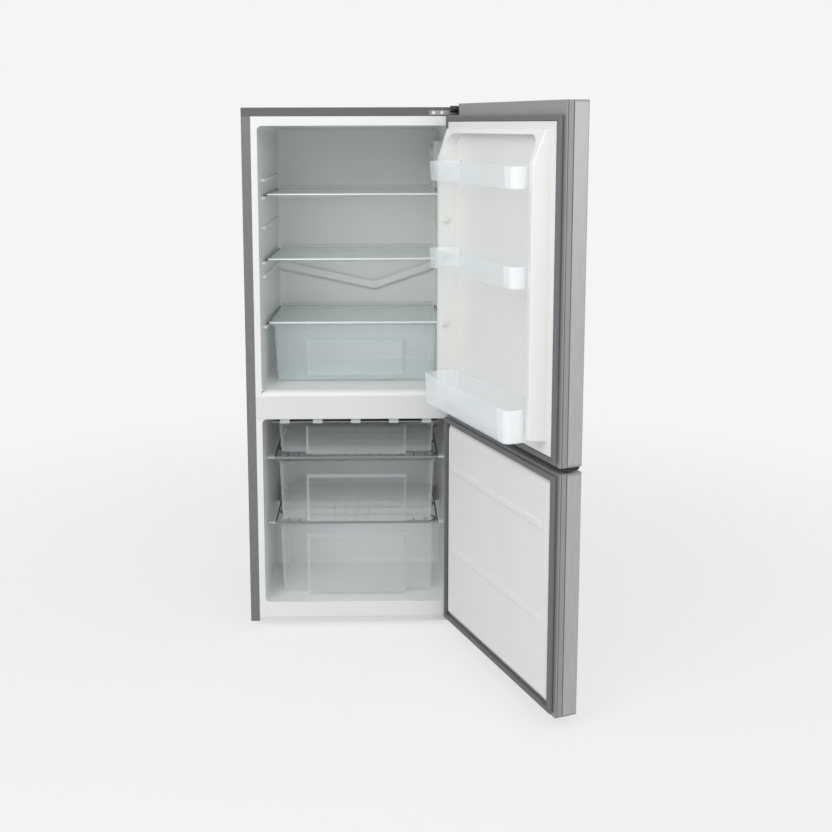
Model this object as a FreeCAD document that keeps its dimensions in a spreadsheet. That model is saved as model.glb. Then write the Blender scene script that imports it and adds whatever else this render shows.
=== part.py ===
import FreeCAD, Part
import math
import os
import re

import Sketcher

# Bottom-freezer fridge with two right-hung doors, shown open.
# X runs to the right, Y to the back and Z up. The origin is on the floor, at the middle of the
# cabinet's width, in the plane of the cabinet's front flanges. All sizes are millimetres.

# Driving dimensions, one sheet cell each
SIZES = {
    # cabinet, from the floor up
    "cabinet_width": 550,
    "cabinet_depth": 465,
    "foot_height": 14,
    "base_flange": 10,
    "bottom_rail_height": 42,
    "freezer_height": 486,
    "divider_height": 58,
    "floor_lip": 15,
    "fridge_height": 663,
    "top_rail_height": 22.5,
    "worktop_thickness": 21.5,
    "worktop_round": 2,
    # sheet metal and cavity walls
    "panel_sheet": 1,
    "pan_sheet": 2,
    "side_flange": 23,
    "rear_flange": 16,
    "liner_flange": 15.4,
    "liner_sheet": 2,
    "liner_draft": 12.6,
    "rear_insulation": 65,
    "cavity_round": 12,
    "floor_rise": 1.5,
    "ceiling_drop": 8,
    "step_from_back": 195,
    "step_height": 179,
    "niche_depth": 140,
    "niche_height": 176,
    "plate_thickness": 3,
    "plate_round": 1.5,
    # clearances and overruns
    "seat_gap": 0.3,
    "pin_clearance": 0.1,
    "thread_clearance": 0.3,
    "overrun": 1,
    # fridge shelves: heights above the fridge floor, drops below its ceiling
    "cover_height": 159.5,
    "middle_shelf_height": 324.5,
    "top_shelf_drop": 173,
    "low_spare_height": 289,
    "middle_spare_drop": 249,
    "high_spare_drop": 129,
    "glass_thickness": 4,
    "shelf_side_gap": 4,
    "shelf_front": 84,
    "shelf_rear_gap": 22,
    "trim_depth": 14,
    "trim_height": 9,
    "trim_lip": 2,
    "trim_round": 2,
    "rail_width": 8,
    "rail_height": 6,
    "rail_front": 66,
    "rail_rear_gap": 10,
    # drain gutter on the back wall
    "gutter_end_height": 267,
    "gutter_apex_height": 206,
    "gutter_apex_offset": 48,
    "gutter_band": 20,
    "gutter_depth": 12,
    "gutter_floor": 4,
    # control housing on the right wall
    "control_rear_gap": 10,
    "control_length": 140,
    "control_drop": 103,
    "control_height": 62,
    "control_width": 16,
    "control_round": 5,
    "knob_radius": 15,
    "knob_height": 9,
    "knob_skirt": 2,
    "knob_from_front": 42,
    "knob_bore_depth": 4,
    "knob_spindle": 3,
    "grip_radius": 1.6,
    "lamp_from_front": 68,
    "lamp_length": 56,
    "lamp_height": 40,
    "lamp_depth": 5,
    # trays
    "tray_wall": 2.2,
    "tray_round": 12,
    "rim_width": 4,
    "rim_height": 4,
    "skid_width": 8,
    "skid_wire": 3,
    "crisper_side_gap": 11.9,
    "crisper_taper": 7,
    "crisper_front": 112,
    "crisper_rear_gap": 28,
    "crisper_lift": 3.5,
    "crisper_headroom": 11.5,
    "crisper_bulge": 20,
    "crisper_grip_half": 128,
    "crisper_grip_low": 21,
    "crisper_grip_height": 91,
    "drawer_side_gap": 10,
    "drawer_taper": 6,
    "drawer_front": 70,
    "drawer_rear_gap": 32,
    "bottom_drawer_gap": 14,
    "drawer_bulge": 25,
    "drawer_grip_half": 130,
    "bottom_drawer_lift": 3,
    "bottom_drawer_room": 10,
    "bottom_grip_drop": 26,
    "middle_drawer_lift": 8,
    "middle_drawer_room": 22,
    "middle_grip_drop": 34,
    "top_drawer_lift": 13,
    "top_drawer_room": 38,
    "top_grip_drop": 4,
    # evaporators
    "evaporator_over_step": 13,
    "upper_evaporator_drop": 118,
    "evaporator_side_gap": 12.75,
    "evaporator_front": 62,
    "evaporator_rear_gap": 24,
    "evaporator_radius": 3,
    "evaporator_rail": 3,
    "evaporator_runs": 6,
    "grid_wire": 2,
    "grid_pitch": 30,
    "ceiling_front": 12,
    "ceiling_plate_drop": 11,
    "ceiling_plate": 2,
    "clip_width": 24,
    "clip_depth": 12,
    "clip_lip": 2,
    "side_clip_height": 5,
    "side_clip_rise": 2,
    "side_clip_depth": 16,
    # doors, drawn closed
    "door_gap": 12,
    "door_frame_depth": 18.6,
    "door_skin_depth": 36,
    "door_sheet": 0.8,
    "door_corner": 6,
    "door_cap": 4,
    "door_groove": 2,
    "groove_place": 5,
    "door_spacing": 14,
    "split_rise": 26,
    "door_over": 7,
    "door_under": 19,
    "door_angle": 111.7,
    "hinge_inset": 16.75,
    "hinge_depth": 24.5,
    # door seals
    "gasket_side": 8,
    "gasket_width": 12,
    "gasket_depth": 11,
    "gasket_base": 4,
    "gasket_base_inset": 3,
    "gasket_round": 2.5,
    "fridge_gasket_low": 6,
    "fridge_gasket_high": 29,
    "freezer_gasket_low": 8,
    "freezer_gasket_high": 4,
    "liner_margin": 1,
    "rim_cover": 1,
    # fridge door liner and racks
    "door_step": 10,
    "dyke_side_gap": 0.6,
    "dyke_side_slope": 6,
    "dyke_width": 14.5,
    "dyke_low": 47,
    "dyke_high": 57,
    "dyke_slope": 4,
    "dyke_height": 50,
    "crown_depth": 23,
    "crown_height": 72,
    "recess_side_slope": 4.5,
    "recess_floor": 6,
    "recess_high": 71,
    "recess_slope": 5,
    "recess_round": 30,
    "lug_width": 6,
    "lug_height": 12,
    "lug_depth": 14,
    "lug_front": 30,
    "rack_side_gap": 1,
    "rack_taper": 3,
    "rack_wall": 2.4,
    "rack_round": 14,
    "rack_back_gap": 0.5,
    "rack_projection": 84,
    "bottle_projection": 95,
    "rack_height": 46,
    "bottle_rack_height": 72,
    "top_rack_drop": 179,
    "middle_rack_low": 370,
    "bottle_rack_low": 43.5,
    "rack_lug_rise": 14,
    "high_lug_share": 0.408,
    "low_lug_share": 0.456,
    # freezer door liner
    "panel_height": 11,
    "panel_slope": 16,
    "panel_rib_height": 16,
    "panel_rib_depth": 4,
    "panel_rib_round": 3,
    "panel_rib_end": 33,
    "panel_rib_drop": 123,
    "panel_rib_low": 207,
    # hinges
    "hinge_plate": 4,
    "hinge_flange": 1.8,
    "hinge_arm_half": 9,
    "pin_radius": 4,
    "pin_length": 13,
    "bush_radius": 6.5,
    "bush_collar": 8.5,
    "bush_depth": 14,
    "low_collar": 1.5,
    "top_flange_reach": 73,
    "top_flange_height": 11,
    "top_collar": 5,
    "notch_width": 60,
    "notch_wall": 3.6,
    "notch_drop": 27,
    "notch_lining": 1.5,
    "middle_flange_reach": 62,
    "middle_flange_height": 12,
    "screw_radius": 4,
    "screw_head": 1.4,
    "screw_first": 10,
    "screw_pitch": 20,
    # machine compartment
    "compressor_across": 70,
    "compressor_from_back": 70,
    "compressor_radius": 58,
    "tray_headroom": 8.7,
    "compressor_dome": 34,
    "seam_rise": 62,
    "seam_thickness": 4,
    "seam_rim": 3,
    "compressor_base": 3,
    "compressor_base_half": 72,
    "compressor_base_depth": 46,
    "grommet_radius": 9,
    "grommet_height": 12,
    "relay_width": 34,
    "relay_depth": 52,
    "relay_height": 58,
    "relay_rise": 30,
    "tray_half": 62,
    "tray_depth": 84,
    "tray_height": 16,
    "spout_radius": 6,
    "spout_bore": 4,
    "spout_drop": 6,
    "spout_inset": 10,
    "spout_step": 0.5,
    "pipe_radius": 3,
    "pipe_bend": 14,
    "riser_gap": 25,
    "discharge_rise": 95,
    "suction_gap": 22,
    "suction_rise": 50,
    "liquid_drop": 25,
    "capillary_radius": 1.5,
    "capillary_drop": 22,
    "capillary_reach": 40,
    "drier_radius": 9,
    "drier_length": 80,
    "drier_low": 60,
    "drier_taper": 8,
    "drier_from_back": 25,
    # condenser on the back
    "condenser_gap": 28,
    "condenser_side_gap": 60,
    "condenser_low": 250,
    "condenser_top_gap": 136.5,
    "condenser_runs": 12,
    "condenser_tube": 2.5,
    "condenser_wire": 1.5,
    "condenser_wire_pitch": 18,
    "bracket_width": 12,
    "bracket_height": 14,
    "bracket_inset": 62,
    # feet
    "foot_radius": 17,
    "foot_disc": 6,
    "foot_neck": 11,
    "foot_thread": 5,
    "foot_inset": 48,
    "foot_front": 62,
    "foot_rear": 36,
}

# Sizes worked out from the driving dimensions
DERIVED = {
    # depths, measured back from the front
    "cavity_depth": "cabinet_depth - rear_insulation",
    "step_depth": "cabinet_depth - step_from_back",
    "niche_front": "cabinet_depth - niche_depth",
    "shelf_back": "cavity_depth - shelf_rear_gap",
    "rail_back": "cavity_depth - rail_rear_gap",
    "crisper_back": "cavity_depth - crisper_rear_gap",
    "drawer_back": "cavity_depth - drawer_rear_gap",
    "bottom_drawer_back": "step_depth - bottom_drawer_gap",
    "evaporator_back": "cavity_depth - evaporator_rear_gap",
    "control_back": "cavity_depth - control_rear_gap",
    "control_front": "control_back - control_length",
    "knob_place": "control_front + knob_from_front",
    "lamp_front": "control_front + lamp_from_front",
    # half widths
    "opening_half": "cabinet_width / 2 - side_flange - liner_flange",
    "evaporator_half": "opening_half - liner_draft * evaporator_back / cavity_depth - evaporator_side_gap",
    "drawer_half_top": "evaporator_half - drawer_side_gap",
    "drawer_half_bottom": "drawer_half_top - drawer_taper",
    "crisper_half_top": "opening_half - liner_draft * crisper_back / cavity_depth - crisper_side_gap",
    "crisper_half_bottom": "crisper_half_top - crisper_taper",
    "dyke_base_half": "opening_half - dyke_side_gap",
    "dyke_top_half": "dyke_base_half - dyke_side_slope",
    "recess_top_half": "dyke_top_half - dyke_width",
    "recess_floor_half": "recess_top_half - recess_side_slope",
    "rack_half": "recess_floor_half - rack_side_gap",
    "panel_half": "cabinet_width / 2 - gasket_side - gasket_width - liner_margin",
    "panel_rib_half": "panel_half - panel_rib_end",
    "condenser_half": "cabinet_width / 2 - condenser_side_gap",
    # heights of the cabinet's stack, from the floor
    "freezer_floor": "foot_height + base_flange + bottom_rail_height",
    "freezer_ceiling": "freezer_floor + freezer_height",
    "mullion_top": "freezer_ceiling + divider_height",
    "fridge_floor": "mullion_top + floor_lip",
    "fridge_ceiling": "fridge_floor + fridge_height",
    "worktop_low": "fridge_ceiling + top_rail_height",
    "cabinet_top": "worktop_low + worktop_thickness",
    # heights inside the fridge space
    "top_shelf_height": "fridge_height - top_shelf_drop",
    "middle_spare_height": "fridge_height - middle_spare_drop",
    "high_spare_height": "fridge_height - high_spare_drop",
    "control_low": "fridge_height - control_drop",
    "crisper_height": "cover_height - crisper_headroom",
    # heights inside the freezer space
    "lower_evaporator": "step_height + evaporator_over_step",
    "upper_evaporator": "freezer_height - upper_evaporator_drop",
    "bottom_drawer_low": "freezer_floor + bottom_drawer_lift",
    "bottom_drawer_height": "lower_evaporator - bottom_drawer_room",
    "bottom_grip_height": "bottom_drawer_height - bottom_grip_drop",
    "middle_drawer_low": "freezer_floor + lower_evaporator + middle_drawer_lift",
    "middle_drawer_height": "upper_evaporator - lower_evaporator - middle_drawer_room",
    "middle_grip_height": "middle_drawer_height - middle_grip_drop",
    "top_drawer_low": "freezer_floor + upper_evaporator + top_drawer_lift",
    "top_drawer_height": "upper_evaporator_drop - top_drawer_room",
    "top_grip_height": "top_drawer_height - top_grip_drop",
    # doors and what they carry, heights from each door's foot
    "split": "freezer_ceiling + split_rise",
    "fridge_door_foot": "split + door_spacing / 2",
    "fridge_door_head": "cabinet_top + door_over",
    "freezer_door_foot": "foot_height + door_under",
    "freezer_door_head": "split - door_spacing / 2",
    "top_rack_low": "fridge_door_head - fridge_door_foot - top_rack_drop",
    "middle_rack_top": "middle_rack_low + rack_height",
    "bottle_rack_top": "bottle_rack_low + bottle_rack_height",
    "spare_lug_high": "middle_rack_top + high_lug_share * (top_rack_low - middle_rack_top - lug_height)",
    "spare_lug_low": "bottle_rack_top + low_lug_share * (middle_rack_low - bottle_rack_top - lug_height)",
    "panel_rib_high": "freezer_door_head - freezer_door_foot - panel_rib_drop",
    # machine compartment and condenser
    "pan_top": "foot_height + pan_sheet",
    "niche_top": "foot_height + niche_height",
    "grommet_top": "pan_top + grommet_height",
    "can_low": "grommet_top + compressor_base",
    "can_top": "niche_top - tray_headroom - tray_height - seat_gap",
    "compressor_height": "can_top - can_low",
    "condenser_pitch": "(worktop_low - condenser_top_gap - condenser_low) / (condenser_runs - 1)",
}

doc = FreeCAD.newDocument("FridgeFreezer")
sheet = doc.addObject("Spreadsheet::Sheet", "Sizes")
for row, (alias, size) in enumerate(SIZES.items(), start=1):
    sheet.set(f"A{row}", alias)
    sheet.set(f"B{row}", str(size))
    sheet.setAlias(f"B{row}", alias)
doc.recompute()


# Helpers: sizes are written as text in terms of the sheet's aliases and the derived sizes
def with_sheet(text):
    def swapped(word):
        name = word[0]
        if name in DERIVED:
            return f"({with_sheet(DERIVED[name])})"
        return "Sizes." + name if name in SIZES else name

    return re.sub(r"[a-z][a-z_]*", swapped, text)


def bind(item, prop, text):
    item.setExpression(prop, with_sheet(text))


def number(text):
    return float(sheet.evalExpression(with_sheet(text)))


def block(x, y, z):
    """A rectangular block between three pairs of faces."""
    item = doc.addObject("Part::Box", "block")
    for prop, (low, high) in zip(("Length", "Width", "Height"), (x, y, z)):
        bind(item, prop, f"({high}) - ({low})")
    for axis, (low, high) in zip("xyz", (x, y, z)):
        bind(item, f"Placement.Base.{axis}", low)
    return item


def taper_back(front, back, y):
    """A block that narrows towards the back; front and back are (x low, x high, z low, z high)."""
    item = doc.addObject("Part::Wedge", "taper")
    names = ("Xmin", "Xmax", "Zmin", "Zmax", "X2min", "X2max", "Z2min", "Z2max", "Ymin", "Ymax")
    for name, text in zip(names, (*front, *back, *y)):
        bind(item, name, text)
    return item


def taper_up(bottom, top, z):
    """A block that widens upwards; bottom and top are (x low, x high, y low, y high)."""
    item = doc.addObject("Part::Wedge", "taper")
    for prefix, (x_low, x_high, y_low, y_high) in (("", bottom), ("2", top)):
        bind(item, f"X{prefix}min", x_low)
        bind(item, f"X{prefix}max", x_high)
        bind(item, f"Z{prefix}min", f"-({y_high})")
        bind(item, f"Z{prefix}max", f"-({y_low})")
    bind(item, "Ymin", z[0])
    bind(item, "Ymax", z[1])
    item.Placement = FreeCAD.Placement(FreeCAD.Vector(), FreeCAD.Rotation(FreeCAD.Vector(1, 0, 0), 90))
    return item


TURNS = {
    "x": FreeCAD.Rotation(FreeCAD.Vector(0, 1, 0), 90),
    "y": FreeCAD.Rotation(FreeCAD.Vector(1, 0, 0), -90),
    "z": FreeCAD.Rotation(),
}


def rod(axis, place, radius, low, high):
    """A round bar along an axis; place gives its other two coordinates in order."""
    item = doc.addObject("Part::Cylinder", "rod")
    bind(item, "Radius", radius)
    bind(item, "Height", f"({high}) - ({low})")
    item.Placement = FreeCAD.Placement(FreeCAD.Vector(), TURNS[axis])
    spots = dict(zip([name for name in "xyz" if name != axis], place))
    spots[axis] = low
    for name, text in spots.items():
        bind(item, f"Placement.Base.{name}", text)
    return item


def join(*items):
    """Several solids that overlap, made one."""
    item = doc.addObject("Part::MultiFuse", "join")
    item.Shapes = list(items)
    item.Refine = True
    return item


def group(*items):
    """Separate solids kept together in one node."""
    item = doc.addObject("Part::Compound", "group")
    item.Links = list(items)
    return item


def cut(base, *tools):
    item = doc.addObject("Part::Cut", "cut")
    item.Base = base
    item.Tool = tools[0] if len(tools) == 1 else join(*tools)
    item.Refine = True
    return item


def rounded(base, radius, chosen):
    """Fillets the edges of base that the chosen test picks."""
    doc.recompute()
    size = number(radius)
    picks = [(i, size, size) for i, edge in enumerate(base.Shape.Edges, start=1) if chosen(edge)]
    item = doc.addObject("Part::Fillet", "rounded")
    item.Base = base
    item.Edges = picks
    return item


def runs(edge, axis):
    """Whether an edge runs mostly along X, Y or Z."""
    box = edge.BoundBox
    lengths = {"x": box.XLength, "y": box.YLength, "z": box.ZLength}
    return lengths[axis] > 0.9 * edge.Length


def at_low(edge, axis, shape):
    """Whether an edge lies on the low side of a shape along an axis."""
    middle = {"x": edge.CenterOfMass.x, "y": edge.CenterOfMass.y, "z": edge.CenterOfMass.z}[axis]
    box = shape.BoundBox
    low, high = {"x": (box.XMin, box.XMax), "y": (box.YMin, box.YMax), "z": (box.ZMin, box.ZMax)}[axis]
    return middle < (low + high) / 2


def outline(body, role, points, offset):
    """A fully constrained closed sketch on one of the body's own origin planes."""
    sketch = body.newObject("Sketcher::SketchObject", "outline")
    plane = [feature for feature in body.Origin.OriginFeatures if feature.Role == role][0]
    sketch.AttachmentSupport = [(plane, "")]
    sketch.MapMode = "FlatFace"
    bind(sketch, "AttachmentOffset.Base.z", offset)
    spots = [(number(x), number(y)) for x, y in points]
    count = len(spots)
    for i in range(count):
        start, end = spots[i], spots[(i + 1) % count]
        sketch.addGeometry(Part.LineSegment(FreeCAD.Vector(*start, 0), FreeCAD.Vector(*end, 0)))
    for i in range(count):
        sketch.addConstraint(Sketcher.Constraint("Coincident", i, 2, (i + 1) % count, 1))
    for i, (x, y) in enumerate(points):
        for kind, text, value in (("DistanceX", x, spots[i][0]), ("DistanceY", y, spots[i][1])):
            index = sketch.addConstraint(Sketcher.Constraint(kind, -1, 1, i, 1, value))
            bind(sketch, f"Constraints[{index}]", text)
    return sketch


def padded(plane, points, low, high):
    """A body padded from an outline in the XY, XZ or YZ plane, from low to high along its normal."""
    body = doc.addObject("PartDesign::Body", "padded")
    flipped = plane == "XZ"
    sketch = outline(body, plane + "_Plane", points, f"-({low})" if flipped else low)
    pad = body.newObject("PartDesign::Pad", "pad")
    pad.Profile = sketch
    pad.Reversed = flipped
    bind(pad, "Length", f"({high}) - ({low})")
    return body


def turned(points, place, turn=None):
    """A body turned about the Z axis from an outline of (radius, height) points, then placed."""
    body = doc.addObject("PartDesign::Body", "turned")
    sketch = outline(body, "XZ_Plane", points, "0")
    revolution = body.newObject("PartDesign::Revolution", "revolution")
    revolution.Profile = sketch
    revolution.ReferenceAxis = (sketch, ["V_Axis"])
    revolution.Angle = 360
    if turn is not None:
        body.Placement = FreeCAD.Placement(FreeCAD.Vector(), turn)
    for name, text in zip("xyz", place):
        bind(body, f"Placement.Base.{name}", text)
    return body


TUBE_SIDES = 8


def bent_tube(points, bend, radius):
    """A tube along straight runs joined by tangent arcs, with an eight-sided section."""
    spots = [FreeCAD.Vector(*(number(text) for text in point)) for point in points]
    edges = []
    start = spots[0]
    for before, corner, after in zip(spots, spots[1:], spots[2:]):
        inward = (corner - before).normalize()
        onward = (after - corner).normalize()
        turn = inward.getAngle(onward)
        setback = bend * math.tan(turn / 2)
        arc_start = corner - inward * setback
        arc_end = corner + onward * setback
        centre_way = (onward - inward).normalize()
        middle = corner + centre_way * (bend / math.cos(turn / 2) - bend)
        if (arc_start - start).Length > number("seat_gap"):
            edges.append(Part.LineSegment(start, arc_start).toShape())
            edges.append(Part.Arc(arc_start, middle, arc_end).toShape())
        else:
            edges.append(Part.Arc(start, middle, arc_end).toShape())
        start = arc_end
    edges.append(Part.LineSegment(start, spots[-1]).toShape())
    path = Part.Wire(edges)
    way = (spots[1] - spots[0]).normalize()
    reference = FreeCAD.Vector(1, 0, 0) if way.x == 0 else FreeCAD.Vector(0, 0, 1)
    side = way.cross(reference).normalize()
    other = way.cross(side)
    corners = []
    for i in range(TUBE_SIDES + 1):
        angle = 2 * math.pi * (i % TUBE_SIDES + 0.5) / TUBE_SIDES
        corners.append(spots[0] + (side * math.cos(angle) + other * math.sin(angle)) * radius)
    section = Part.makePolygon(corners)
    item = doc.addObject("Part::Feature", "tube")
    item.Shape = path.makePipeShell([section], True, False)
    return item


# Places that several pieces share
HALF = "(cabinet_width / 2)"
INSIDE = "(cabinet_width / 2 - panel_sheet)"
LINER_EDGE = "(cabinet_width / 2 - side_flange)"
OPENING = "opening_half"
PAN_TOP = "pan_top"
RAIL_LOW = "(foot_height + base_flange)"
FREEZER_FLOOR = "freezer_floor"
FREEZER_CEILING = "freezer_ceiling"
MULLION_TOP = "mullion_top"
FRIDGE_FLOOR = "fridge_floor"
FRIDGE_CEILING = "fridge_ceiling"
WORKTOP_LOW = "worktop_low"
CABINET_TOP = "cabinet_top"
STEP_TOP = "(freezer_floor + step_height)"
NICHE_TOP = "niche_top"
BACK = "(cavity_depth + liner_sheet)"

NODES = []


def node(label, item):
    """Names a finished sub-part; the name is also its file's."""
    item.Label = label
    NODES.append(item)
    return item


def wall(y):
    """Half width of a cavity at a depth: the side walls draw in towards the back."""
    return f"({OPENING} - liner_draft * ({y}) / cavity_depth)"


# Outer shell: side panels wrap round to the front and back flanges
def side_panel(side):
    edge = f"{side} * cabinet_width / 2"
    inner = f"{side} * (cabinet_width / 2 - panel_sheet)"
    front = f"{side} * (cabinet_width / 2 - side_flange)"
    rear = f"{side} * (cabinet_width / 2 - rear_flange)"
    points = [
        (front, "0"),
        (edge, "0"),
        (edge, "cabinet_depth"),
        (rear, "cabinet_depth"),
        (rear, "cabinet_depth - panel_sheet"),
        (inner, "cabinet_depth - panel_sheet"),
        (inner, "panel_sheet"),
        (front, "panel_sheet"),
    ]
    return padded("XY", points, "foot_height", WORKTOP_LOW)


node("side_panel_left", side_panel(-1))
node("side_panel_right", side_panel(1))


def worktop():
    slab = block((f"-{HALF}", HALF), ("0", "cabinet_depth"), (WORKTOP_LOW, CABINET_TOP))
    doc.recompute()
    shape = slab.Shape
    return rounded(slab, "worktop_round", lambda edge: not at_low(edge, "z", shape) and not runs(edge, "z"))


node("worktop", worktop())

REAR_EDGE = "(cabinet_width / 2 - rear_flange)"
node(
    "back_panel",
    block(
        (f"-{REAR_EDGE}", REAR_EDGE),
        ("cabinet_depth - panel_sheet", "cabinet_depth"),
        (NICHE_TOP, WORKTOP_LOW),
    ),
)


FOOT_X = f"({HALF} - foot_inset)"


def base_pan():
    """The bottom sheet, turned up at the front and bored for the feet."""
    depth = ("panel_sheet", "cabinet_depth - panel_sheet")
    sheet_part = block((f"-{INSIDE}", INSIDE), depth, ("foot_height", PAN_TOP))
    lip = block((f"-{LINER_EDGE}", LINER_EDGE), ("0", "pan_sheet"), ("foot_height", RAIL_LOW))
    bores = []
    for side in (-1, 1):
        centre = (f"{side} * {FOOT_X}", "foot_front")
        bores.append(rod("z", centre, "foot_thread + thread_clearance", "foot_height", PAN_TOP))
    return cut(join(sheet_part, lip), *bores)


node("base_pan", base_pan())


# Linings: vacuum-formed cavities with a front flange each
def cavity(low, high, depth, spare, floor_lift):
    """The hollow of a compartment, grown by spare on every side but the front."""
    reach = f"({depth} + {spare})"
    front = (f"-({OPENING} + {spare})", f"{OPENING} + {spare}", f"{low} - {spare}", f"{high} + {spare}")
    side = f"({wall(reach)} + {spare})"
    back = (
        f"-{side}",
        side,
        f"{low} + {floor_lift} - {spare}",
        f"{high} - ceiling_drop * ({depth}) / cavity_depth + {spare}",
    )
    return taper_back(front, back, ("0", reach))


def softened(item, radius):
    """Rounds the long corners and the back corners of a cavity."""
    doc.recompute()
    shape = item.Shape
    return rounded(item, radius, lambda edge: runs(edge, "y") or not at_low(edge, "y", shape))


def side_rails(height):
    """A pair of ledges that carry a shelf whose top face is at a height above the fridge floor."""
    top = f"({FRIDGE_FLOOR} + {height} - glass_thickness - seat_gap)"
    low = f"({top} - rail_height)"
    items = []
    for side in (-1, 1):
        faces = []
        for y in ("rail_front", "rail_back"):
            deep, free = f"{side} * ({wall(y)} + overrun)", f"{side} * ({wall(y)} - rail_width)"
            faces.append((deep, free, low, top) if side < 0 else (free, deep, low, top))
        items.append(taper_back(faces[0], faces[1], ("rail_front", "rail_back")))
    return items


DRAIN_INLET = ("gutter_apex_offset", "(fridge_floor + gutter_apex_height + gutter_floor + spout_radius)")
DRAIN_Y = f"({BACK} + spout_inset)"


def drain_tube(radius):
    """The way of the thaw water: back through the lining, then down inside the rear insulation."""
    inlet = rod("y", DRAIN_INLET, f"{radius} - spout_step", "cavity_depth", DRAIN_Y)
    top = f"{DRAIN_INLET[1]} + {radius} + seat_gap"
    fall = rod("z", ("gutter_apex_offset", DRAIN_Y), radius, "niche_top - spout_drop", top)
    return join(inlet, fall)


def gutter():
    """A V-shaped trough on the rear wall that leads thaw water to its lowest point."""
    end = f"({wall('cavity_depth')} + liner_sheet / 2)"
    high = f"{FRIDGE_FLOOR} + gutter_end_height"
    low = f"{FRIDGE_FLOOR} + gutter_apex_height"

    def band(start, finish):
        return [
            (f"-{end}", f"{high} + {start}"),
            ("gutter_apex_offset", f"{low} + {start}"),
            (end, f"{high} + {start}"),
            (end, f"{high} + {finish}"),
            ("gutter_apex_offset", f"{low} + {finish}"),
            (f"-{end}", f"{high} + {finish}"),
        ]

    front = "cavity_depth - gutter_depth"
    trough = padded("XZ", band("0", "gutter_band"), front, "cavity_depth + liner_sheet / 2")
    channel = band("gutter_floor", "gutter_band + overrun")
    return cut(trough, padded("XZ", channel, f"{front} + liner_sheet", "cavity_depth"))


def quarter_lip(radius):
    """A quarter round along X at the front of the fridge floor."""
    item = rod("x", ("floor_lip", MULLION_TOP), radius, f"-{OPENING}", OPENING)
    item.Angle = 90
    item.Placement = FreeCAD.Placement(
        item.Placement.Base,
        FreeCAD.Rotation(FreeCAD.Vector(0, 0, 1), FreeCAD.Vector(0, -1, 0), FreeCAD.Vector(1, 0, 0)),
    )
    return item


def fridge_liner():
    spare = "liner_sheet"
    lift = "floor_rise"
    shell = cavity(FRIDGE_FLOOR, FRIDGE_CEILING, "cavity_depth", spare, lift)
    shell = softened(shell, "cavity_round + liner_sheet")
    hollow = softened(cavity(FRIDGE_FLOOR, FRIDGE_CEILING, "cavity_depth", "0", lift), "cavity_round")
    flange = block((f"-{LINER_EDGE}", LINER_EDGE), ("0", "liner_sheet"), (MULLION_TOP, WORKTOP_LOW))
    floor_z = (MULLION_TOP, f"{FRIDGE_FLOOR} + floor_rise")
    front_floor = block((f"-{OPENING}", OPENING), ("0", "floor_lip"), floor_z)
    lip = cut(quarter_lip("floor_lip"), quarter_lip("floor_lip - liner_sheet"))
    ledges = []
    for height in (
        "cover_height",
        "middle_shelf_height",
        "top_shelf_height",
        "low_spare_height",
        "middle_spare_height",
        "high_spare_height",
    ):
        ledges.extend(side_rails(height))
    walls = cut(join(shell, flange), hollow, front_floor)
    return cut(join(walls, lip, gutter(), *ledges), drain_tube("spout_radius"))


node("fridge_liner", fridge_liner())


def freezer_liner():
    lift = "floor_rise * step_depth / cavity_depth"
    parts = {}
    rounds = {"shell": ("liner_sheet", "cavity_round + liner_sheet"), "hollow": ("0", "cavity_round")}
    for name, (spare, radius) in rounds.items():
        low_part = softened(cavity(FREEZER_FLOOR, FREEZER_CEILING, "step_depth", spare, lift), radius)
        high_part = softened(cavity(STEP_TOP, FREEZER_CEILING, "cavity_depth", spare, "0"), radius)
        parts[name] = join(low_part, high_part)
    flange = block((f"-{LINER_EDGE}", LINER_EDGE), ("0", "liner_sheet"), (FREEZER_FLOOR, FREEZER_CEILING))
    above = block((f"-{HALF}", HALF), ("0", "plate_thickness"), (FREEZER_CEILING, MULLION_TOP))
    below = block((f"-{HALF}", HALF), ("0", "plate_thickness"), ("foot_height", FREEZER_FLOOR))
    return cut(join(parts["shell"], flange), parts["hollow"], above, below)


node("freezer_liner", freezer_liner())


# Insulation: foam between the shell and the linings, in blocks that meet face to face
def side_foam(side, low, high, y):
    faces = []
    for place in y:
        outer, inner = f"{side} * {INSIDE}", f"{side} * ({wall(place)} + liner_sheet)"
        faces.append((outer, inner, low, high) if side < 0 else (inner, outer, low, high))
    return taper_back(faces[0], faces[1], y)


node(
    "insulation_sides",
    group(
        *[side_foam(side, NICHE_TOP, WORKTOP_LOW, ("plate_thickness", BACK)) for side in (-1, 1)],
        *[side_foam(side, PAN_TOP, NICHE_TOP, ("plate_thickness", "niche_front")) for side in (-1, 1)],
    ),
)


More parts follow.
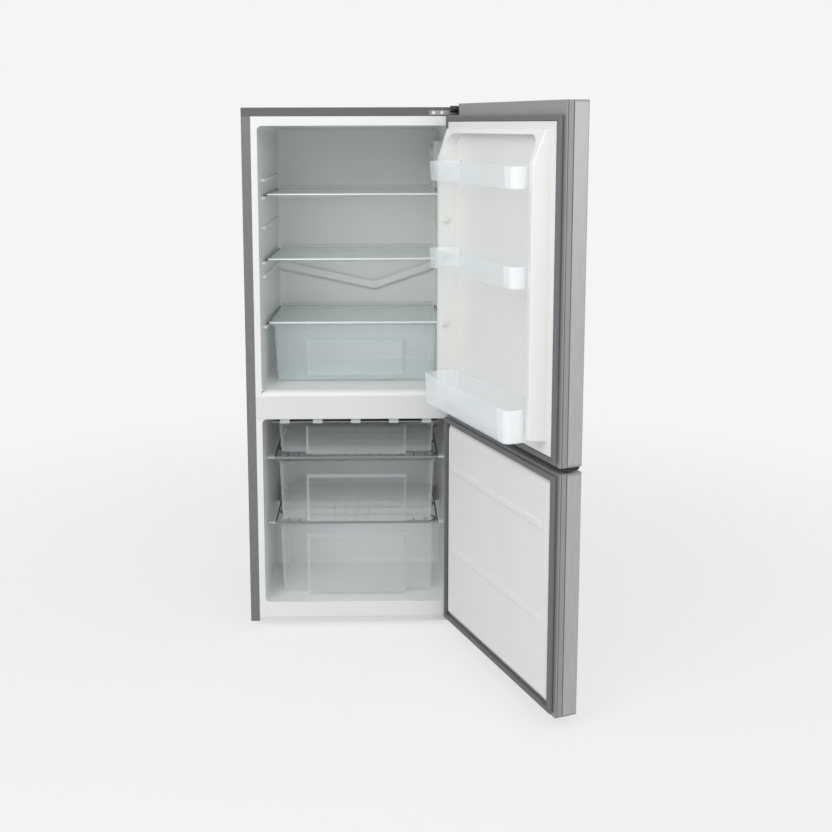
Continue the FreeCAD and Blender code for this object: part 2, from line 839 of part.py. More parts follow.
def core_foam():
    def slab(y, front, back):
        ends = []
        for place, (low, high) in zip(y, (front, back)):
            half = f"({wall(place)} + liner_sheet)"
            ends.append((f"-{half}", half, low, high))
        return taper_back(ends[0], ends[1], y)

    rear = cut(
        block((f"-{INSIDE}", INSIDE), (BACK, "cabinet_depth - panel_sheet"), (NICHE_TOP, WORKTOP_LOW)),
        drain_tube("spout_radius"),
    )
    ceiling_front = f"{FRIDGE_CEILING} + liner_sheet"
    ceiling_back = f"{FRIDGE_CEILING} - ceiling_drop + liner_sheet"
    top = slab(("liner_sheet", BACK), (ceiling_front, WORKTOP_LOW), (ceiling_back, WORKTOP_LOW))
    divider_front = (f"{FREEZER_CEILING} + liner_sheet", f"{FRIDGE_FLOOR} - liner_sheet")
    divider_back = (
        f"{FREEZER_CEILING} - ceiling_drop + liner_sheet",
        f"{FRIDGE_FLOOR} + floor_rise - liner_sheet",
    )
    divider = slab(("floor_lip", BACK), divider_front, divider_back)
    nose = slab(
        ("plate_thickness", "floor_lip"),
        (f"{FREEZER_CEILING} + liner_sheet", f"{MULLION_TOP} - liner_sheet"),
        (f"{FREEZER_CEILING} + liner_sheet", f"{MULLION_TOP} - liner_sheet"),
    )
    floor_low = f"{FREEZER_FLOOR} - liner_sheet"
    base = slab(
        ("plate_thickness", "step_depth + liner_sheet"),
        (PAN_TOP, floor_low),
        (PAN_TOP, floor_low),
    )
    step_high = f"{STEP_TOP} - liner_sheet"
    step_front = slab(("step_depth + liner_sheet", "niche_front"), (PAN_TOP, step_high), (PAN_TOP, step_high))
    step_top = slab(("niche_front", BACK), (NICHE_TOP, step_high), (NICHE_TOP, step_high))
    return group(rear, top, divider, nose, base, step_front, step_top)


node("insulation_core", core_foam())


# Front rails
def front_plate(low, high):
    plate = block((f"-{LINER_EDGE}", LINER_EDGE), ("0", "plate_thickness"), (low, high))
    doc.recompute()
    shape = plate.Shape
    return rounded(plate, "plate_round", lambda edge: runs(edge, "x") and at_low(edge, "y", shape))


node("mullion_plate", front_plate(FREEZER_CEILING, MULLION_TOP))
node("bottom_rail", front_plate(RAIL_LOW, FREEZER_FLOOR))


# Glass shelves with a trim along the front and back edges
SHELVES = {
    "top_shelf": "top_shelf_height",
    "middle_shelf": "middle_shelf_height",
    "crisper_cover": "cover_height",
}


def shelf_half(y):
    return f"({wall(y)} - shelf_side_gap)"


def shelf_glass(height):
    top = f"({FRIDGE_FLOOR} + {height})"
    ends = []
    places = ("shelf_front + trim_lip", "shelf_back - trim_lip")
    for y in places:
        ends.append((f"-{shelf_half(y)}", shelf_half(y), f"{top} - glass_thickness", top))
    return taper_back(ends[0], ends[1], places)


def shelf_trims(height):
    """A profile that grips the front edge and a bar that stops things at the back."""
    top = f"({FRIDGE_FLOOR} + {height})"
    bars = []
    for y_low, y_high, low, high in (
        ("shelf_front", "shelf_front + trim_depth", f"{top} - trim_height + trim_lip", f"{top} + trim_lip"),
        ("shelf_back - trim_depth", "shelf_back", f"{top} - glass_thickness", f"{top} + trim_height"),
    ):
        half = shelf_half("shelf_back" if "back" in y_high else "shelf_front + trim_depth")
        bar = block((f"-{half} + rail_width", f"{half} - rail_width"), (y_low, y_high), (low, high))
        doc.recompute()
        shape = bar.Shape
        bars.append(rounded(bar, "trim_round", lambda edge: runs(edge, "x") and not at_low(edge, "z", shape)))
    glass = shelf_glass(height)
    return group(*[cut(bar, glass) for bar in bars])


for name, height in SHELVES.items():
    node(f"{name}_glass", shelf_glass(height))
    node(f"{name}_trims", shelf_trims(height))


# Trays: the crisper and the three freezer drawers
def tray(halves, y, z, bulge, grip, seat, skid):
    """An open box whose sides draw in downwards, with a grip panel pushed out of its front.

    Its two skids stand at plus and minus skid, and reach down to seat.
    """
    half_low, half_high = halves
    front, back = y
    low, high = z
    grip_half, grip_low, grip_high = grip
    lean = f"(({half_high} - {half_low}) / ({high} - ({low})))"

    def shell(spare, bottom):
        start = f"({half_low} - {spare} + {lean} * {spare})"
        near = f"{front} + {spare}"
        far = f"{back} - {spare}"
        item = taper_up(
            (f"-{start}", start, near, far),
            (f"-({half_high} - {spare})", f"{half_high} - {spare}", near, far),
            (bottom, high),
        )
        return rounded(item, f"tray_round - {spare}", lambda edge: runs(edge, "z"))

    def panel(spare):
        item = block(
            (f"-({grip_half} - {spare})", f"{grip_half} - {spare}"),
            (f"{front} - {bulge} + {spare}", f"{front} + tray_wall"),
            (f"{grip_low} + {spare}", f"{grip_high} - {spare}"),
        )
        doc.recompute()
        shape = item.Shape
        pick = lambda edge: at_low(edge, "y", shape) and runs(edge, "z")
        return rounded(item, f"tray_round - {spare}", pick)

    rim_half = f"({half_high} + rim_width)"
    rim = rounded(
        block((f"-{rim_half}", rim_half), (front, f"{back} + rim_width"), (f"{high} - rim_height", high)),
        "tray_round",
        lambda edge: runs(edge, "z"),
    )
    hollow = shell("tray_wall", f"{low} + tray_wall")
    skids = [
        block(
            (f"{side} * {skid} - skid_width / 2", f"{side} * {skid} + skid_width / 2"),
            (f"{front} + tray_round", f"{back} - tray_round"),
            (seat, f"{low} + tray_wall / 2"),
        )
        for side in (-1, 1)
    ]
    box = cut(join(shell("0", low), panel("0"), rim), hollow, panel("tray_wall"))
    return join(box, *skids)


CRISPER_LOW = f"({FRIDGE_FLOOR} + crisper_lift)"
node(
    "crisper_drawer",
    tray(
        ("crisper_half_bottom", "crisper_half_top"),
        ("crisper_front", "crisper_back"),
        (CRISPER_LOW, f"{CRISPER_LOW} + crisper_height"),
        "crisper_bulge",
        (
            "crisper_grip_half",
            "(fridge_floor + crisper_grip_low)",
            "(fridge_floor + crisper_grip_low + crisper_grip_height)",
        ),
        f"{FRIDGE_FLOOR} + floor_rise + seat_gap",
        "crisper_half_bottom / 2",
    ),
)

UPPER_SEAT = "freezer_floor + upper_evaporator + grid_wire + seat_gap"
LOWER_SEAT = "freezer_floor + lower_evaporator + grid_wire + seat_gap"
DRAWERS = {
    "freezer_drawer_top": ("top", "drawer_back", UPPER_SEAT),
    "freezer_drawer_middle": ("middle", "drawer_back", LOWER_SEAT),
    "freezer_drawer_bottom": ("bottom", "bottom_drawer_back", "freezer_floor + floor_rise + seat_gap"),
}
for name, (level, back, seat) in DRAWERS.items():
    low = f"{level}_drawer_low"
    node(
        name,
        tray(
            ("drawer_half_bottom", "drawer_half_top"),
            ("drawer_front", back),
            (low, f"{low} + {level}_drawer_height"),
            "drawer_bulge",
            ("drawer_grip_half", low, f"({low} + {level}_grip_height)"),
            seat,
            "skid_wire * grid_pitch",
        ),
    )


# Evaporators: a plate under the freezer's ceiling and two shelves of bent tube and wire
def evaporator_shelf(height):
    """A serpentine tube between two side rails, with a grid of wires laid across it."""
    top = f"({FREEZER_FLOOR} + {height})"
    middle = f"{top} - evaporator_radius"
    count = int(number("evaporator_runs"))
    first = "(evaporator_front + evaporator_rail + evaporator_radius)"
    last = "(evaporator_back - evaporator_rail - evaporator_radius)"
    pitch = f"(({last} - {first}) / {count - 1})"
    reach = "(evaporator_half - evaporator_rail - evaporator_radius)"
    corners = []
    for i in range(count):
        ends = (f"-{reach}", reach) if i % 2 == 0 else (reach, f"-{reach}")
        for x in ends:
            corners.append((x, f"{first} + {i} * {pitch}", middle))
    tube = bent_tube(corners, number(pitch) / 2, number("evaporator_radius"))
    rails = []
    for side in (-1, 1):
        x = f"{side} * evaporator_half"
        rails.append(
            block(
                (f"{x} - evaporator_rail / 2", f"{x} + evaporator_rail / 2"),
                ("evaporator_front", "evaporator_back"),
                (f"{top} - 2 * evaporator_radius", f"{top} + grid_wire"),
            )
        )
    wires = []
    steps = int(number("evaporator_half / grid_pitch"))
    for i in range(-steps, steps + 1):
        wires.append(
            block(
                (f"{i} * grid_pitch - grid_wire / 2", f"{i} * grid_pitch + grid_wire / 2"),
                ("evaporator_front", "evaporator_back"),
                (top, f"{top} + grid_wire"),
            )
        )
    bars = [
        block(
            ("-evaporator_half", "evaporator_half"),
            (f"{y} - evaporator_rail / 2", f"{y} + evaporator_rail / 2"),
            (f"{top} - evaporator_radius", f"{top} + grid_wire"),
        )
        for y in ("evaporator_front + evaporator_rail / 2", "evaporator_back - evaporator_rail / 2")
    ]
    return group(tube, join(*rails, *bars, *wires))


node("evaporator_shelf_upper", evaporator_shelf("upper_evaporator"))
node("evaporator_shelf_lower", evaporator_shelf("lower_evaporator"))

PLATE_LOW = f"({FREEZER_CEILING} - ceiling_plate_drop)"
node(
    "evaporator_ceiling",
    block(
        ("-evaporator_half", "evaporator_half"),
        ("ceiling_front", "evaporator_back"),
        (PLATE_LOW, f"{PLATE_LOW} + ceiling_plate"),
    ),
)

# Shares of the evaporator's half width at which the ceiling clips sit
CLIP_SHARES = (-0.85, -0.457, 0, 0.457, 0.85)


def evaporator_clips():
    """Hooks from the freezer's ceiling and brackets from its side walls."""
    clips = []
    for y in ("ceiling_front", "evaporator_back - clip_depth"):
        for share in CLIP_SHARES:
            x = f"{share} * evaporator_half"
            fallen = f"ceiling_drop * ({y} + clip_depth) / cavity_depth"
            ceiling = f"{FREEZER_CEILING} - {fallen} - liner_sheet / 4"
            body = block(
                (f"{x} - clip_width / 2", f"{x} + clip_width / 2"),
                (f"{y} - clip_lip", f"{y} + clip_depth"),
                (f"{PLATE_LOW} - clip_lip", ceiling),
            )
            plate = block(
                ("-evaporator_half", "evaporator_half"),
                ("ceiling_front", "evaporator_back"),
                (PLATE_LOW, f"{PLATE_LOW} + ceiling_plate"),
            )
            clips.append(cut(body, plate))
    for height in ("upper_evaporator", "lower_evaporator"):
        top = f"({FREEZER_FLOOR} + {height} + side_clip_rise)"
        for y in ("evaporator_front", "evaporator_back - side_clip_depth"):
            far = f"({y} + side_clip_depth)"
            for side in (-1, 1):
                start = f"{side} * (evaporator_half + evaporator_rail / 2)"
                end = f"{side} * ({wall(far)} - seat_gap)"
                x = (end, start) if side < 0 else (start, end)
                clips.append(block(x, (y, far), (f"{top} - side_clip_height", top)))
    return group(*clips)


node("evaporator_clips", evaporator_clips())


# Control housing with its dial and lamp on the right wall
CONTROL_LOW = f"({FRIDGE_FLOOR} + control_low)"
CONTROL_FACE = f"({wall('control_back')} - control_width)"
KNOB_Z = f"({CONTROL_LOW} + control_height / 2)"


def control_housing():
    front = (CONTROL_FACE, wall("control_front"), CONTROL_LOW, f"{CONTROL_LOW} + control_height")
    back = (CONTROL_FACE, wall("control_back"), CONTROL_LOW, f"{CONTROL_LOW} + control_height")
    body = taper_back(front, back, ("control_front", "control_back"))
    doc.recompute()
    shape = body.Shape
    body = rounded(body, "control_round", lambda edge: at_low(edge, "x", shape))
    window = block(
        (CONTROL_FACE, f"{CONTROL_FACE} + lamp_depth"),
        ("lamp_front", "lamp_front + lamp_length"),
        (f"{KNOB_Z} - lamp_height / 2", f"{KNOB_Z} + lamp_height / 2"),
    )
    spindle = rod(
        "x",
        ("knob_place", KNOB_Z),
        "knob_spindle",
        f"{CONTROL_FACE} - knob_bore_depth + seat_gap",
        f"{CONTROL_FACE} + overrun",
    )
    return join(cut(body, window), spindle)


node("control_housing", control_housing())
node(
    "lamp_cover",
    block(
        (f"{CONTROL_FACE} - lamp_depth / 2", f"{CONTROL_FACE} + lamp_depth"),
        ("lamp_front", "lamp_front + lamp_length"),
        (f"{KNOB_Z} - lamp_height / 2", f"{KNOB_Z} + lamp_height / 2"),
    ),
)

GRIP_COUNT = 12


def thermostat_knob():
    """A turned dial with a skirt, a bore for its spindle and grip flutes round its rim."""
    points = [
        ("knob_spindle + pin_clearance", "0"),
        ("knob_radius", "0"),
        ("knob_radius", "knob_skirt"),
        ("knob_radius - knob_skirt", "knob_skirt * 2"),
        ("knob_radius - knob_skirt", "knob_height"),
        ("0", "knob_height"),
        ("0", "knob_bore_depth"),
        ("knob_spindle + pin_clearance", "knob_bore_depth"),
    ]
    turn = FreeCAD.Rotation(FreeCAD.Vector(0, 1, 0), -90)
    place = (f"{CONTROL_FACE} - seat_gap", "knob_place", KNOB_Z)
    body = turned(points, place, turn)
    flutes = []
    for i in range(GRIP_COUNT):
        angle = f"({360 * i / GRIP_COUNT} * 1 deg)"
        flutes.append(
            rod(
                "x",
                (
                    f"knob_place + (knob_radius - knob_skirt) * cos({angle})",
                    f"{KNOB_Z} + (knob_radius - knob_skirt) * sin({angle})",
                ),
                "grip_radius",
                f"{CONTROL_FACE} - knob_height - overrun",
                f"{CONTROL_FACE} - seat_gap - knob_skirt * 2",
            )
        )
    return cut(body, *flutes)


node("thermostat_knob", thermostat_knob())


# Hinges: brackets on the cabinet, and the line they share
HINGE_X = f"({HALF} - hinge_inset)"
DOOR_IN = "(-door_gap)"
HINGE_Y = "(-door_gap - hinge_depth)"
DOOR_SEAM = "(-door_gap - door_frame_depth)"
DOOR_OUT = "(-door_gap - door_frame_depth - door_skin_depth)"
SPLIT = "split"
FRIDGE_DOOR = ("fridge_door_foot", "fridge_door_head")
FREEZER_DOOR = ("freezer_door_foot", "freezer_door_head")
MIDDLE_PLATE = (f"({SPLIT} - hinge_plate / 2)", f"({SPLIT} + hinge_plate / 2)")
LOW_PLATE_TOP = f"({FREEZER_DOOR[0]} - low_collar - seat_gap)"
LOW_PLATE = (f"({LOW_PLATE_TOP} - hinge_plate)", LOW_PLATE_TOP)
NOTCH_FLOOR = f"({FRIDGE_DOOR[1]} - notch_drop)"
TOP_PLATE = (
    f"({NOTCH_FLOOR} + notch_lining + top_collar + seat_gap)",
    f"({NOTCH_FLOOR} + notch_lining + top_collar + seat_gap + hinge_plate)",
)


def hinge(plate, flange_left, flange_z, pins):
    """An arm from the cabinet's front to the hinge line, with a fixing flange and its pins."""
    arm = block((f"{HINGE_X} - hinge_arm_half", f"{HINGE_X} + hinge_arm_half"), (HINGE_Y, "0"), plate)
    eye = rod("z", (HINGE_X, HINGE_Y), "hinge_arm_half", *plate)
    flange = block((flange_left, f"{HINGE_X} + hinge_arm_half"), ("-hinge_flange", "0"), flange_z)
    shafts = [rod("z", (HINGE_X, HINGE_Y), "pin_radius", low, high) for low, high in pins]
    return join(arm, eye, flange, *shafts)


TOP_FLANGE_Z = (f"({TOP_PLATE[0]} - top_flange_height / 2)", f"({TOP_PLATE[0]} + top_flange_height / 2)")
MIDDLE_FLANGE_Z = (f"({SPLIT} - middle_flange_height / 2)", f"({SPLIT} + middle_flange_height / 2)")
LOW_FLANGE_Z = ("foot_height", LOW_PLATE[1])
TOP_FLANGE_X = f"({HINGE_X} - top_flange_reach)"
MIDDLE_FLANGE_X = f"({HINGE_X} - middle_flange_reach)"
node(
    "top_hinge",
    hinge(TOP_PLATE, TOP_FLANGE_X, TOP_FLANGE_Z, [(f"{TOP_PLATE[0]} - pin_length", TOP_PLATE[1])]),
)
node(
    "middle_hinge",
    hinge(
        MIDDLE_PLATE,
        MIDDLE_FLANGE_X,
        MIDDLE_FLANGE_Z,
        [(f"{MIDDLE_PLATE[0]} - pin_length", f"{MIDDLE_PLATE[1]} + pin_length")],
    ),
)
node(
    "bottom_hinge",
    hinge(LOW_PLATE, MIDDLE_FLANGE_X, LOW_FLANGE_Z, [(LOW_PLATE[0], f"{LOW_PLATE[1]} + pin_length")]),
)


def hinge_screws():
    """Two cross-slotted heads on each hinge flange."""
    heads = []
    for left, (low, high) in (
        (TOP_FLANGE_X, TOP_FLANGE_Z),
        (MIDDLE_FLANGE_X, MIDDLE_FLANGE_Z),
        (MIDDLE_FLANGE_X, LOW_FLANGE_Z),
    ):
        middle = f"(({low} + {high}) / 2)"
        for i in range(2):
            x = f"({left} + screw_first + {i} * screw_pitch)"
            head = rod("y", (x, middle), "screw_radius", "-hinge_flange - screw_head", "-hinge_flange")
            slot = block(
                (f"{x} - screw_radius", f"{x} + screw_radius"),
                ("-hinge_flange - screw_head", "-hinge_flange - screw_head / 2"),
                (f"{middle} - screw_head / 2", f"{middle} + screw_head / 2"),
            )
            heads.append(cut(head, slot))
    return group(*heads)


node("hinge_screws", hinge_screws())


# Doors: drawn closed, then swung about the hinge line
def swing(item):
    """Turns a finished door piece about the hinge line by the opening angle."""
    angle = "(door_angle * 1 deg)"
    bind(item, "Placement.Rotation.Angle", "door_angle * 1 deg")
    bind(item, "Placement.Base.x", f"{HINGE_X} - {HINGE_X} * cos({angle}) + {HINGE_Y} * sin({angle})")
    bind(item, "Placement.Base.y", f"{HINGE_Y} - {HINGE_X} * sin({angle}) - {HINGE_Y} * cos({angle})")
    return item


def door_node(label, item):
    return node(label, swing(group(item) if item.TypeId != "Part::Compound" else item))


def front_round(x, y, z, radius):
    """A block whose two upright front edges are rounded."""
    item = block(x, y, z)
    doc.recompute()
    shape = item.Shape
    return rounded(item, radius, lambda edge: runs(edge, "z") and at_low(edge, "y", shape))


def notch_box(spare):
    """The room for the top hinge's arm in the fridge door's upper corner."""
    return block(
        (f"{HALF} - notch_width + {spare}", f"{HALF} + overrun"),
        (f"{DOOR_OUT} + notch_wall + {spare}", f"{DOOR_IN} + overrun"),
        (f"{NOTCH_FLOOR} + {spare}", f"{FRIDGE_DOOR[1]} + overrun"),
    )


def bush_room(low, high):
    return rod("z", (HINGE_X, HINGE_Y), "bush_radius", low, high)


def door_skin(low, high):
    """The painted sheet: a front with rounded edges and two returns."""
    z = (f"{low} + door_cap", f"{high} - door_cap")
    outer = front_round((f"-{HALF}", HALF), (DOOR_OUT, DOOR_SEAM), z, "door_corner")
    inner = front_round(
        (f"-({HALF} - door_sheet)", f"{HALF} - door_sheet"),
        (f"{DOOR_OUT} + door_sheet", DOOR_SEAM),
        z,
        "door_corner - door_sheet",
    )
    return cut(outer, inner)


def door_room(seal):
    """The room inside the frame, which the lining's foot just covers."""
    room_low, room_high = seal_inside(seal)
    side = f"({PANEL_HALF} - rim_cover)"
    z = (f"{room_low} + rim_cover", f"{room_high} - rim_cover")
    return block((f"-{side}", side), (DOOR_SEAM, DOOR_IN), z)


def door_frame(low, high, seal):
    """The moulded frame: a rim round the inner side, grooved at the seam, and an end cap each way."""
    rim = block((f"-{HALF}", HALF), (DOOR_SEAM, DOOR_IN), (low, high))
    caps = [
        front_round((f"-{HALF}", HALF), (DOOR_OUT, DOOR_SEAM), z, "door_corner")
        for z in ((low, f"{low} + door_cap"), (f"{high} - door_cap", high))
    ]
    grooves = []
    for side in (-1, 1):
        x = (f"{side} * {HALF} - door_groove", f"{side} * {HALF} + door_groove")
        for start in (f"{DOOR_SEAM} + door_sheet", f"{DOOR_IN} - groove_place"):
            grooves.append(block(x, (start, f"{start} + door_groove"), (low, high)))
    return cut(join(cut(rim, door_room(seal)), *caps), *grooves)


def door_foam(low, high, seal):
    """The two foam slabs, inside the skin and inside the frame."""
    main = front_round(
        (f"-({HALF} - door_sheet)", f"{HALF} - door_sheet"),
        (f"{DOOR_OUT} + door_sheet", DOOR_SEAM),
        (f"{low} + door_cap", f"{high} - door_cap"),
        "door_corner - door_sheet",
    )
    return main, door_room(seal)


def gasket(low, high):
    """A hollow-backed seal: a narrow foot on the door and a wide soft head."""
    side = f"({HALF} - gasket_side)"

    def ring(inset, y, round_it):
        outer = block(
            (f"-({side} - {inset})", f"{side} - {inset}"), y, (f"{low} + {inset}", f"{high} - {inset}")
        )
        inner_side = f"({side} - gasket_width + {inset})"
        inner_z = (f"{low} + gasket_width - {inset}", f"{high} - gasket_width + {inset}")
        inner = block((f"-{inner_side}", inner_side), y, inner_z)
        if round_it:
            doc.recompute()
            shape = outer.Shape
            picked = lambda edge: not runs(edge, "y") and not at_low(edge, "y", shape)
            outer = rounded(outer, "gasket_round", picked)
        return cut(outer, inner)

    foot = ring("gasket_base_inset", (DOOR_IN, f"{DOOR_IN} + gasket_base"), False)
    head = ring("0", (f"{DOOR_IN} + gasket_base", f"{DOOR_IN} + gasket_depth"), True)
    return join(foot, head)


FRIDGE_SEAL = (f"({FRIDGE_DOOR[0]} + fridge_gasket_low)", f"({FRIDGE_DOOR[1]} - fridge_gasket_high)")
FREEZER_SEAL = (f"({FREEZER_DOOR[0]} + freezer_gasket_low)", f"({FREEZER_DOOR[1]} - freezer_gasket_high)")
PANEL_HALF = "panel_half"


def seal_inside(seal):
    low, high = seal
    return f"({low} + gasket_width + liner_margin)", f"({high} - gasket_width - liner_margin)"


def crown_room(spare):
    """The room before the ridges, which lean back towards the door's head."""
    head = f"({FRIDGE_DOOR[1]} - dyke_high)"
    near = f"{DOOR_IN} + crown_depth - {spare}"
    far = f"{DOOR_IN} + dyke_height + overrun"
    points = [
        (near, head),
        (f"{DOOR_IN} + dyke_height - {spare}", f"{head} - crown_height"),
        (far, f"{head} - crown_height"),
        (far, f"{head} + overrun"),
        (near, f"{head} + overrun"),
    ]
    return padded("YZ", points, f"-{PANEL_HALF}", PANEL_HALF)


def dyke_ridge(side):
    """Foam inside one upright ridge of the door lining."""
    base = f"({DOOR_IN} + recess_floor - liner_sheet)"
    top = f"({DOOR_IN} + dyke_height - liner_sheet)"
    low = f"({FRIDGE_DOOR[0]} + dyke_low + dyke_slope + liner_sheet)"
    high = f"({FRIDGE_DOOR[1]} - dyke_high - dyke_slope - liner_sheet)"
    faces = []
    for inner, outer in (
        ("recess_floor_half + liner_sheet", "dyke_base_half - liner_sheet"),
        ("recess_top_half + liner_sheet", "dyke_top_half - liner_sheet"),
    ):
        near, far = f"{side} * ({inner})", f"{side} * ({outer})"
        faces.append((far, near, low, high) if side < 0 else (near, far, low, high))
    return cut(taper_back(faces[0], faces[1], (base, top)), crown_room("liner_sheet"))


def dyke_bar():
    """Foam inside the ridge along the top of the door lining."""
    base = f"({DOOR_IN} + recess_floor - liner_sheet)"
    top = f"({DOOR_IN} + dyke_height - liner_sheet)"
    half = "recess_floor_half"
    low = f"({FRIDGE_DOOR[1]} - recess_high + liner_sheet + recess_slope)"
    high = f"({FRIDGE_DOOR[1]} - dyke_high - dyke_slope - liner_sheet)"
    return cut(block((f"-{half}", half), (base, top), (low, high)), crown_room("liner_sheet"))


def rack_places():
    """Height above the door's foot and reach from its inner face, of each rack."""
    return {
        "door_rack_top": ("top_rack_low", "rack_height", "rack_projection"),
        "door_rack_middle": ("middle_rack_low", "rack_height", "rack_projection"),
        "bottle_rack": ("bottle_rack_low", "bottle_rack_height", "bottle_projection"),
    }


def lug(side, height, spare):
    """A boss on the ridge's inner face that a rack hooks over."""
    low = f"({FRIDGE_DOOR[0]} + {height})"
    near, far = f"{side} * (rack_half - lug_width / 2)", f"{side} * (recess_top_half - seat_gap)"
    if spare != "0":
        far = f"{side} * (recess_top_half + lug_width)"
    y_low = f"{DOOR_IN} + lug_front - {spare}"
    return block(
        (far, near) if side < 0 else (near, far),
        (y_low, f"{DOOR_IN} + lug_front + lug_depth + {spare}"),
        (f"{low} - ({spare}) * bottle_rack_height", f"{low} + lug_height + {spare}"),
    )


LUG_HEIGHTS = ["spare_lug_high", "spare_lug_low"]
for rack_place in rack_places().values():
    LUG_HEIGHTS.append(f"({rack_place[0]} + rack_lug_rise)")


def fridge_door_liner():
    """The white lining: a stepped foot, raised ridges round a recess, and the rack lugs."""
    low, high = seal_inside(FRIDGE_SEAL)
    step_top = f"({DOOR_IN} + door_step)"
    step = block((f"-{PANEL_HALF}", PANEL_HALF), (DOOR_IN, step_top), (low, high))
    doc.recompute()
    shape = step.Shape
    step = rounded(step, "plate_round", lambda edge: not at_low(edge, "y", shape))
    foot, head = f"({FRIDGE_DOOR[0]} + dyke_low)", f"({FRIDGE_DOOR[1]} - dyke_high)"
    ridge = taper_back(
        ("-dyke_base_half", "dyke_base_half", foot, head),
        ("-dyke_top_half", "dyke_top_half", f"{foot} + dyke_slope", f"{head} - dyke_slope"),
        (step_top, f"{DOOR_IN} + dyke_height"),
    )
    ridge_base = number(f"{step_top} + seat_gap")
    ridge = cut(ridge, crown_room("0"))
    ridge = rounded(ridge, "dyke_slope", lambda edge: edge.BoundBox.YMax > ridge_base)
    recess_low = f"({FRIDGE_DOOR[0]} + dyke_low - recess_slope)"
    recess_top = f"({FRIDGE_DOOR[1]} - recess_high)"
    recess = taper_back(
        ("-recess_floor_half", "recess_floor_half", recess_low, recess_top),
        ("-recess_top_half", "recess_top_half", recess_low, f"{recess_top} + recess_slope"),
        (f"{DOOR_IN} + recess_floor", f"{DOOR_IN} + dyke_height"),
    )
    doc.recompute()
    recess_shape = recess.Shape
    upper = lambda edge: runs(edge, "y") and not at_low(edge, "z", recess_shape)
    recess = rounded(recess, "recess_round", upper)
    foam_core = block(
        (f"-({PANEL_HALF} - liner_sheet)", f"{PANEL_HALF} - liner_sheet"),
        (DOOR_IN, f"{DOOR_IN} + recess_floor - liner_sheet"),
        (f"{low} + liner_sheet", f"{high} - liner_sheet"),
    )
    shell = cut(join(step, ridge), recess, foam_core, dyke_ridge(-1), dyke_ridge(1), dyke_bar())
    lugs = [lug(side, height, "0") for height in LUG_HEIGHTS for side in (-1, 1)]
    return join(shell, *lugs)


def door_rack(low, size, reach):
    """A clear tray with a slot in each end that drops over the lining's lugs."""
    foot = f"({FRIDGE_DOOR[0]} + {low})"
    top = f"({foot} + {size})"
    back = f"({DOOR_IN} + recess_floor + rack_back_gap)"
    front = f"({DOOR_IN} + {reach})"

    def shell(spare, bottom):
        item = taper_up(
            (
                f"-(rack_half - rack_taper - {spare})",
                f"rack_half - rack_taper - {spare}",
                f"{back} + {spare}",
                f"{front} - rack_taper - {spare}",
            ),
            (f"-(rack_half - {spare})", f"rack_half - {spare}", f"{back} + {spare}", f"{front} - {spare}"),
            (bottom, top),
        )
        doc.recompute()
        shape = item.Shape
        front_corner = lambda edge: runs(edge, "z") and not at_low(edge, "y", shape)
        return rounded(item, f"rack_round - {spare}", front_corner)

    body = cut(shell("0", foot), shell("rack_wall", f"{foot} + rack_wall"))
    slots = [lug(side, f"({low} + rack_lug_rise)", "seat_gap") for side in (-1, 1)]
    return cut(body, *slots)


def top_bush():
    """A black insert that lines the corner notch and takes the top pin."""
    lining = cut(notch_box("0"), notch_box("notch_lining"))
    trimmed = block(
        (f"{HALF} - notch_width", HALF),
        (f"{DOOR_OUT} + notch_wall", DOOR_IN),
        (NOTCH_FLOOR, FRIDGE_DOOR[1]),
    )
    item = doc.addObject("Part::MultiCommon", "common")
    item.Shapes = [lining, trimmed]
    socket = bush_room(f"{NOTCH_FLOOR} - bush_depth", f"{NOTCH_FLOOR} + notch_lining")
    collar = rod("z", (HINGE_X, HINGE_Y), "bush_collar", NOTCH_FLOOR, f"{TOP_PLATE[0]} - seat_gap")
    bore = rod(
        "z",
        (HINGE_X, HINGE_Y),
        "pin_radius + pin_clearance",
        f"{TOP_PLATE[0]} - pin_length - seat_gap",
        TOP_PLATE[0],
    )
    return cut(join(item, socket, collar), bore)


def end_bush(face, plate_face, way):
    """A bush in a door's end cap, with a collar that rides on the hinge plate."""
    inner = f"({face} + {way} * bush_depth)"
    stop = f"({plate_face} + {way} * seat_gap)"
    tip = f"({plate_face} + {way} * (pin_length + seat_gap))"

    def span(start, end):
        return (start, end) if way > 0 else (end, start)

    socket = bush_room(*span(stop, inner))
    collar = rod("z", (HINGE_X, HINGE_Y), "bush_collar", *span(stop, face))
    bore = rod("z", (HINGE_X, HINGE_Y), "pin_radius + pin_clearance", *span(stop, tip))
    return cut(join(socket, collar), bore)


def fridge_door():
    low, high = FRIDGE_DOOR
    door_node("fridge_door_skin", cut(door_skin(low, high), notch_box("0")))
    bottom_room = bush_room(low, f"{low} + bush_depth")
    top_room = bush_room(f"{NOTCH_FLOOR} - bush_depth", NOTCH_FLOOR)
    frame = door_frame(low, high, FRIDGE_SEAL)
    door_node("fridge_door_frame", cut(frame, notch_box("0"), bottom_room, top_room))
    main, inner = door_foam(low, high, FRIDGE_SEAL)
    panel_low, panel_high = seal_inside(FRIDGE_SEAL)
    core = block(
        (f"-({PANEL_HALF} - liner_sheet)", f"{PANEL_HALF} - liner_sheet"),
        (DOOR_IN, f"{DOOR_IN} + recess_floor - liner_sheet"),
        (f"{panel_low} + liner_sheet", f"{panel_high} - liner_sheet"),
    )
    foam = group(
        cut(main, notch_box("0"), top_room, bottom_room),
        inner,
        core,
        dyke_ridge(-1),
        dyke_ridge(1),
        dyke_bar(),
    )
    door_node("fridge_door_foam", foam)
    door_node("fridge_door_liner", fridge_door_liner())
    door_node("fridge_door_gasket", gasket(*FRIDGE_SEAL))
    lower = end_bush(low, MIDDLE_PLATE[1], 1)
    door_node("fridge_door_bushes", group(top_bush(), lower))
    for name, (rack_low, size, reach) in rack_places().items():
        door_node(name, door_rack(rack_low, size, reach))


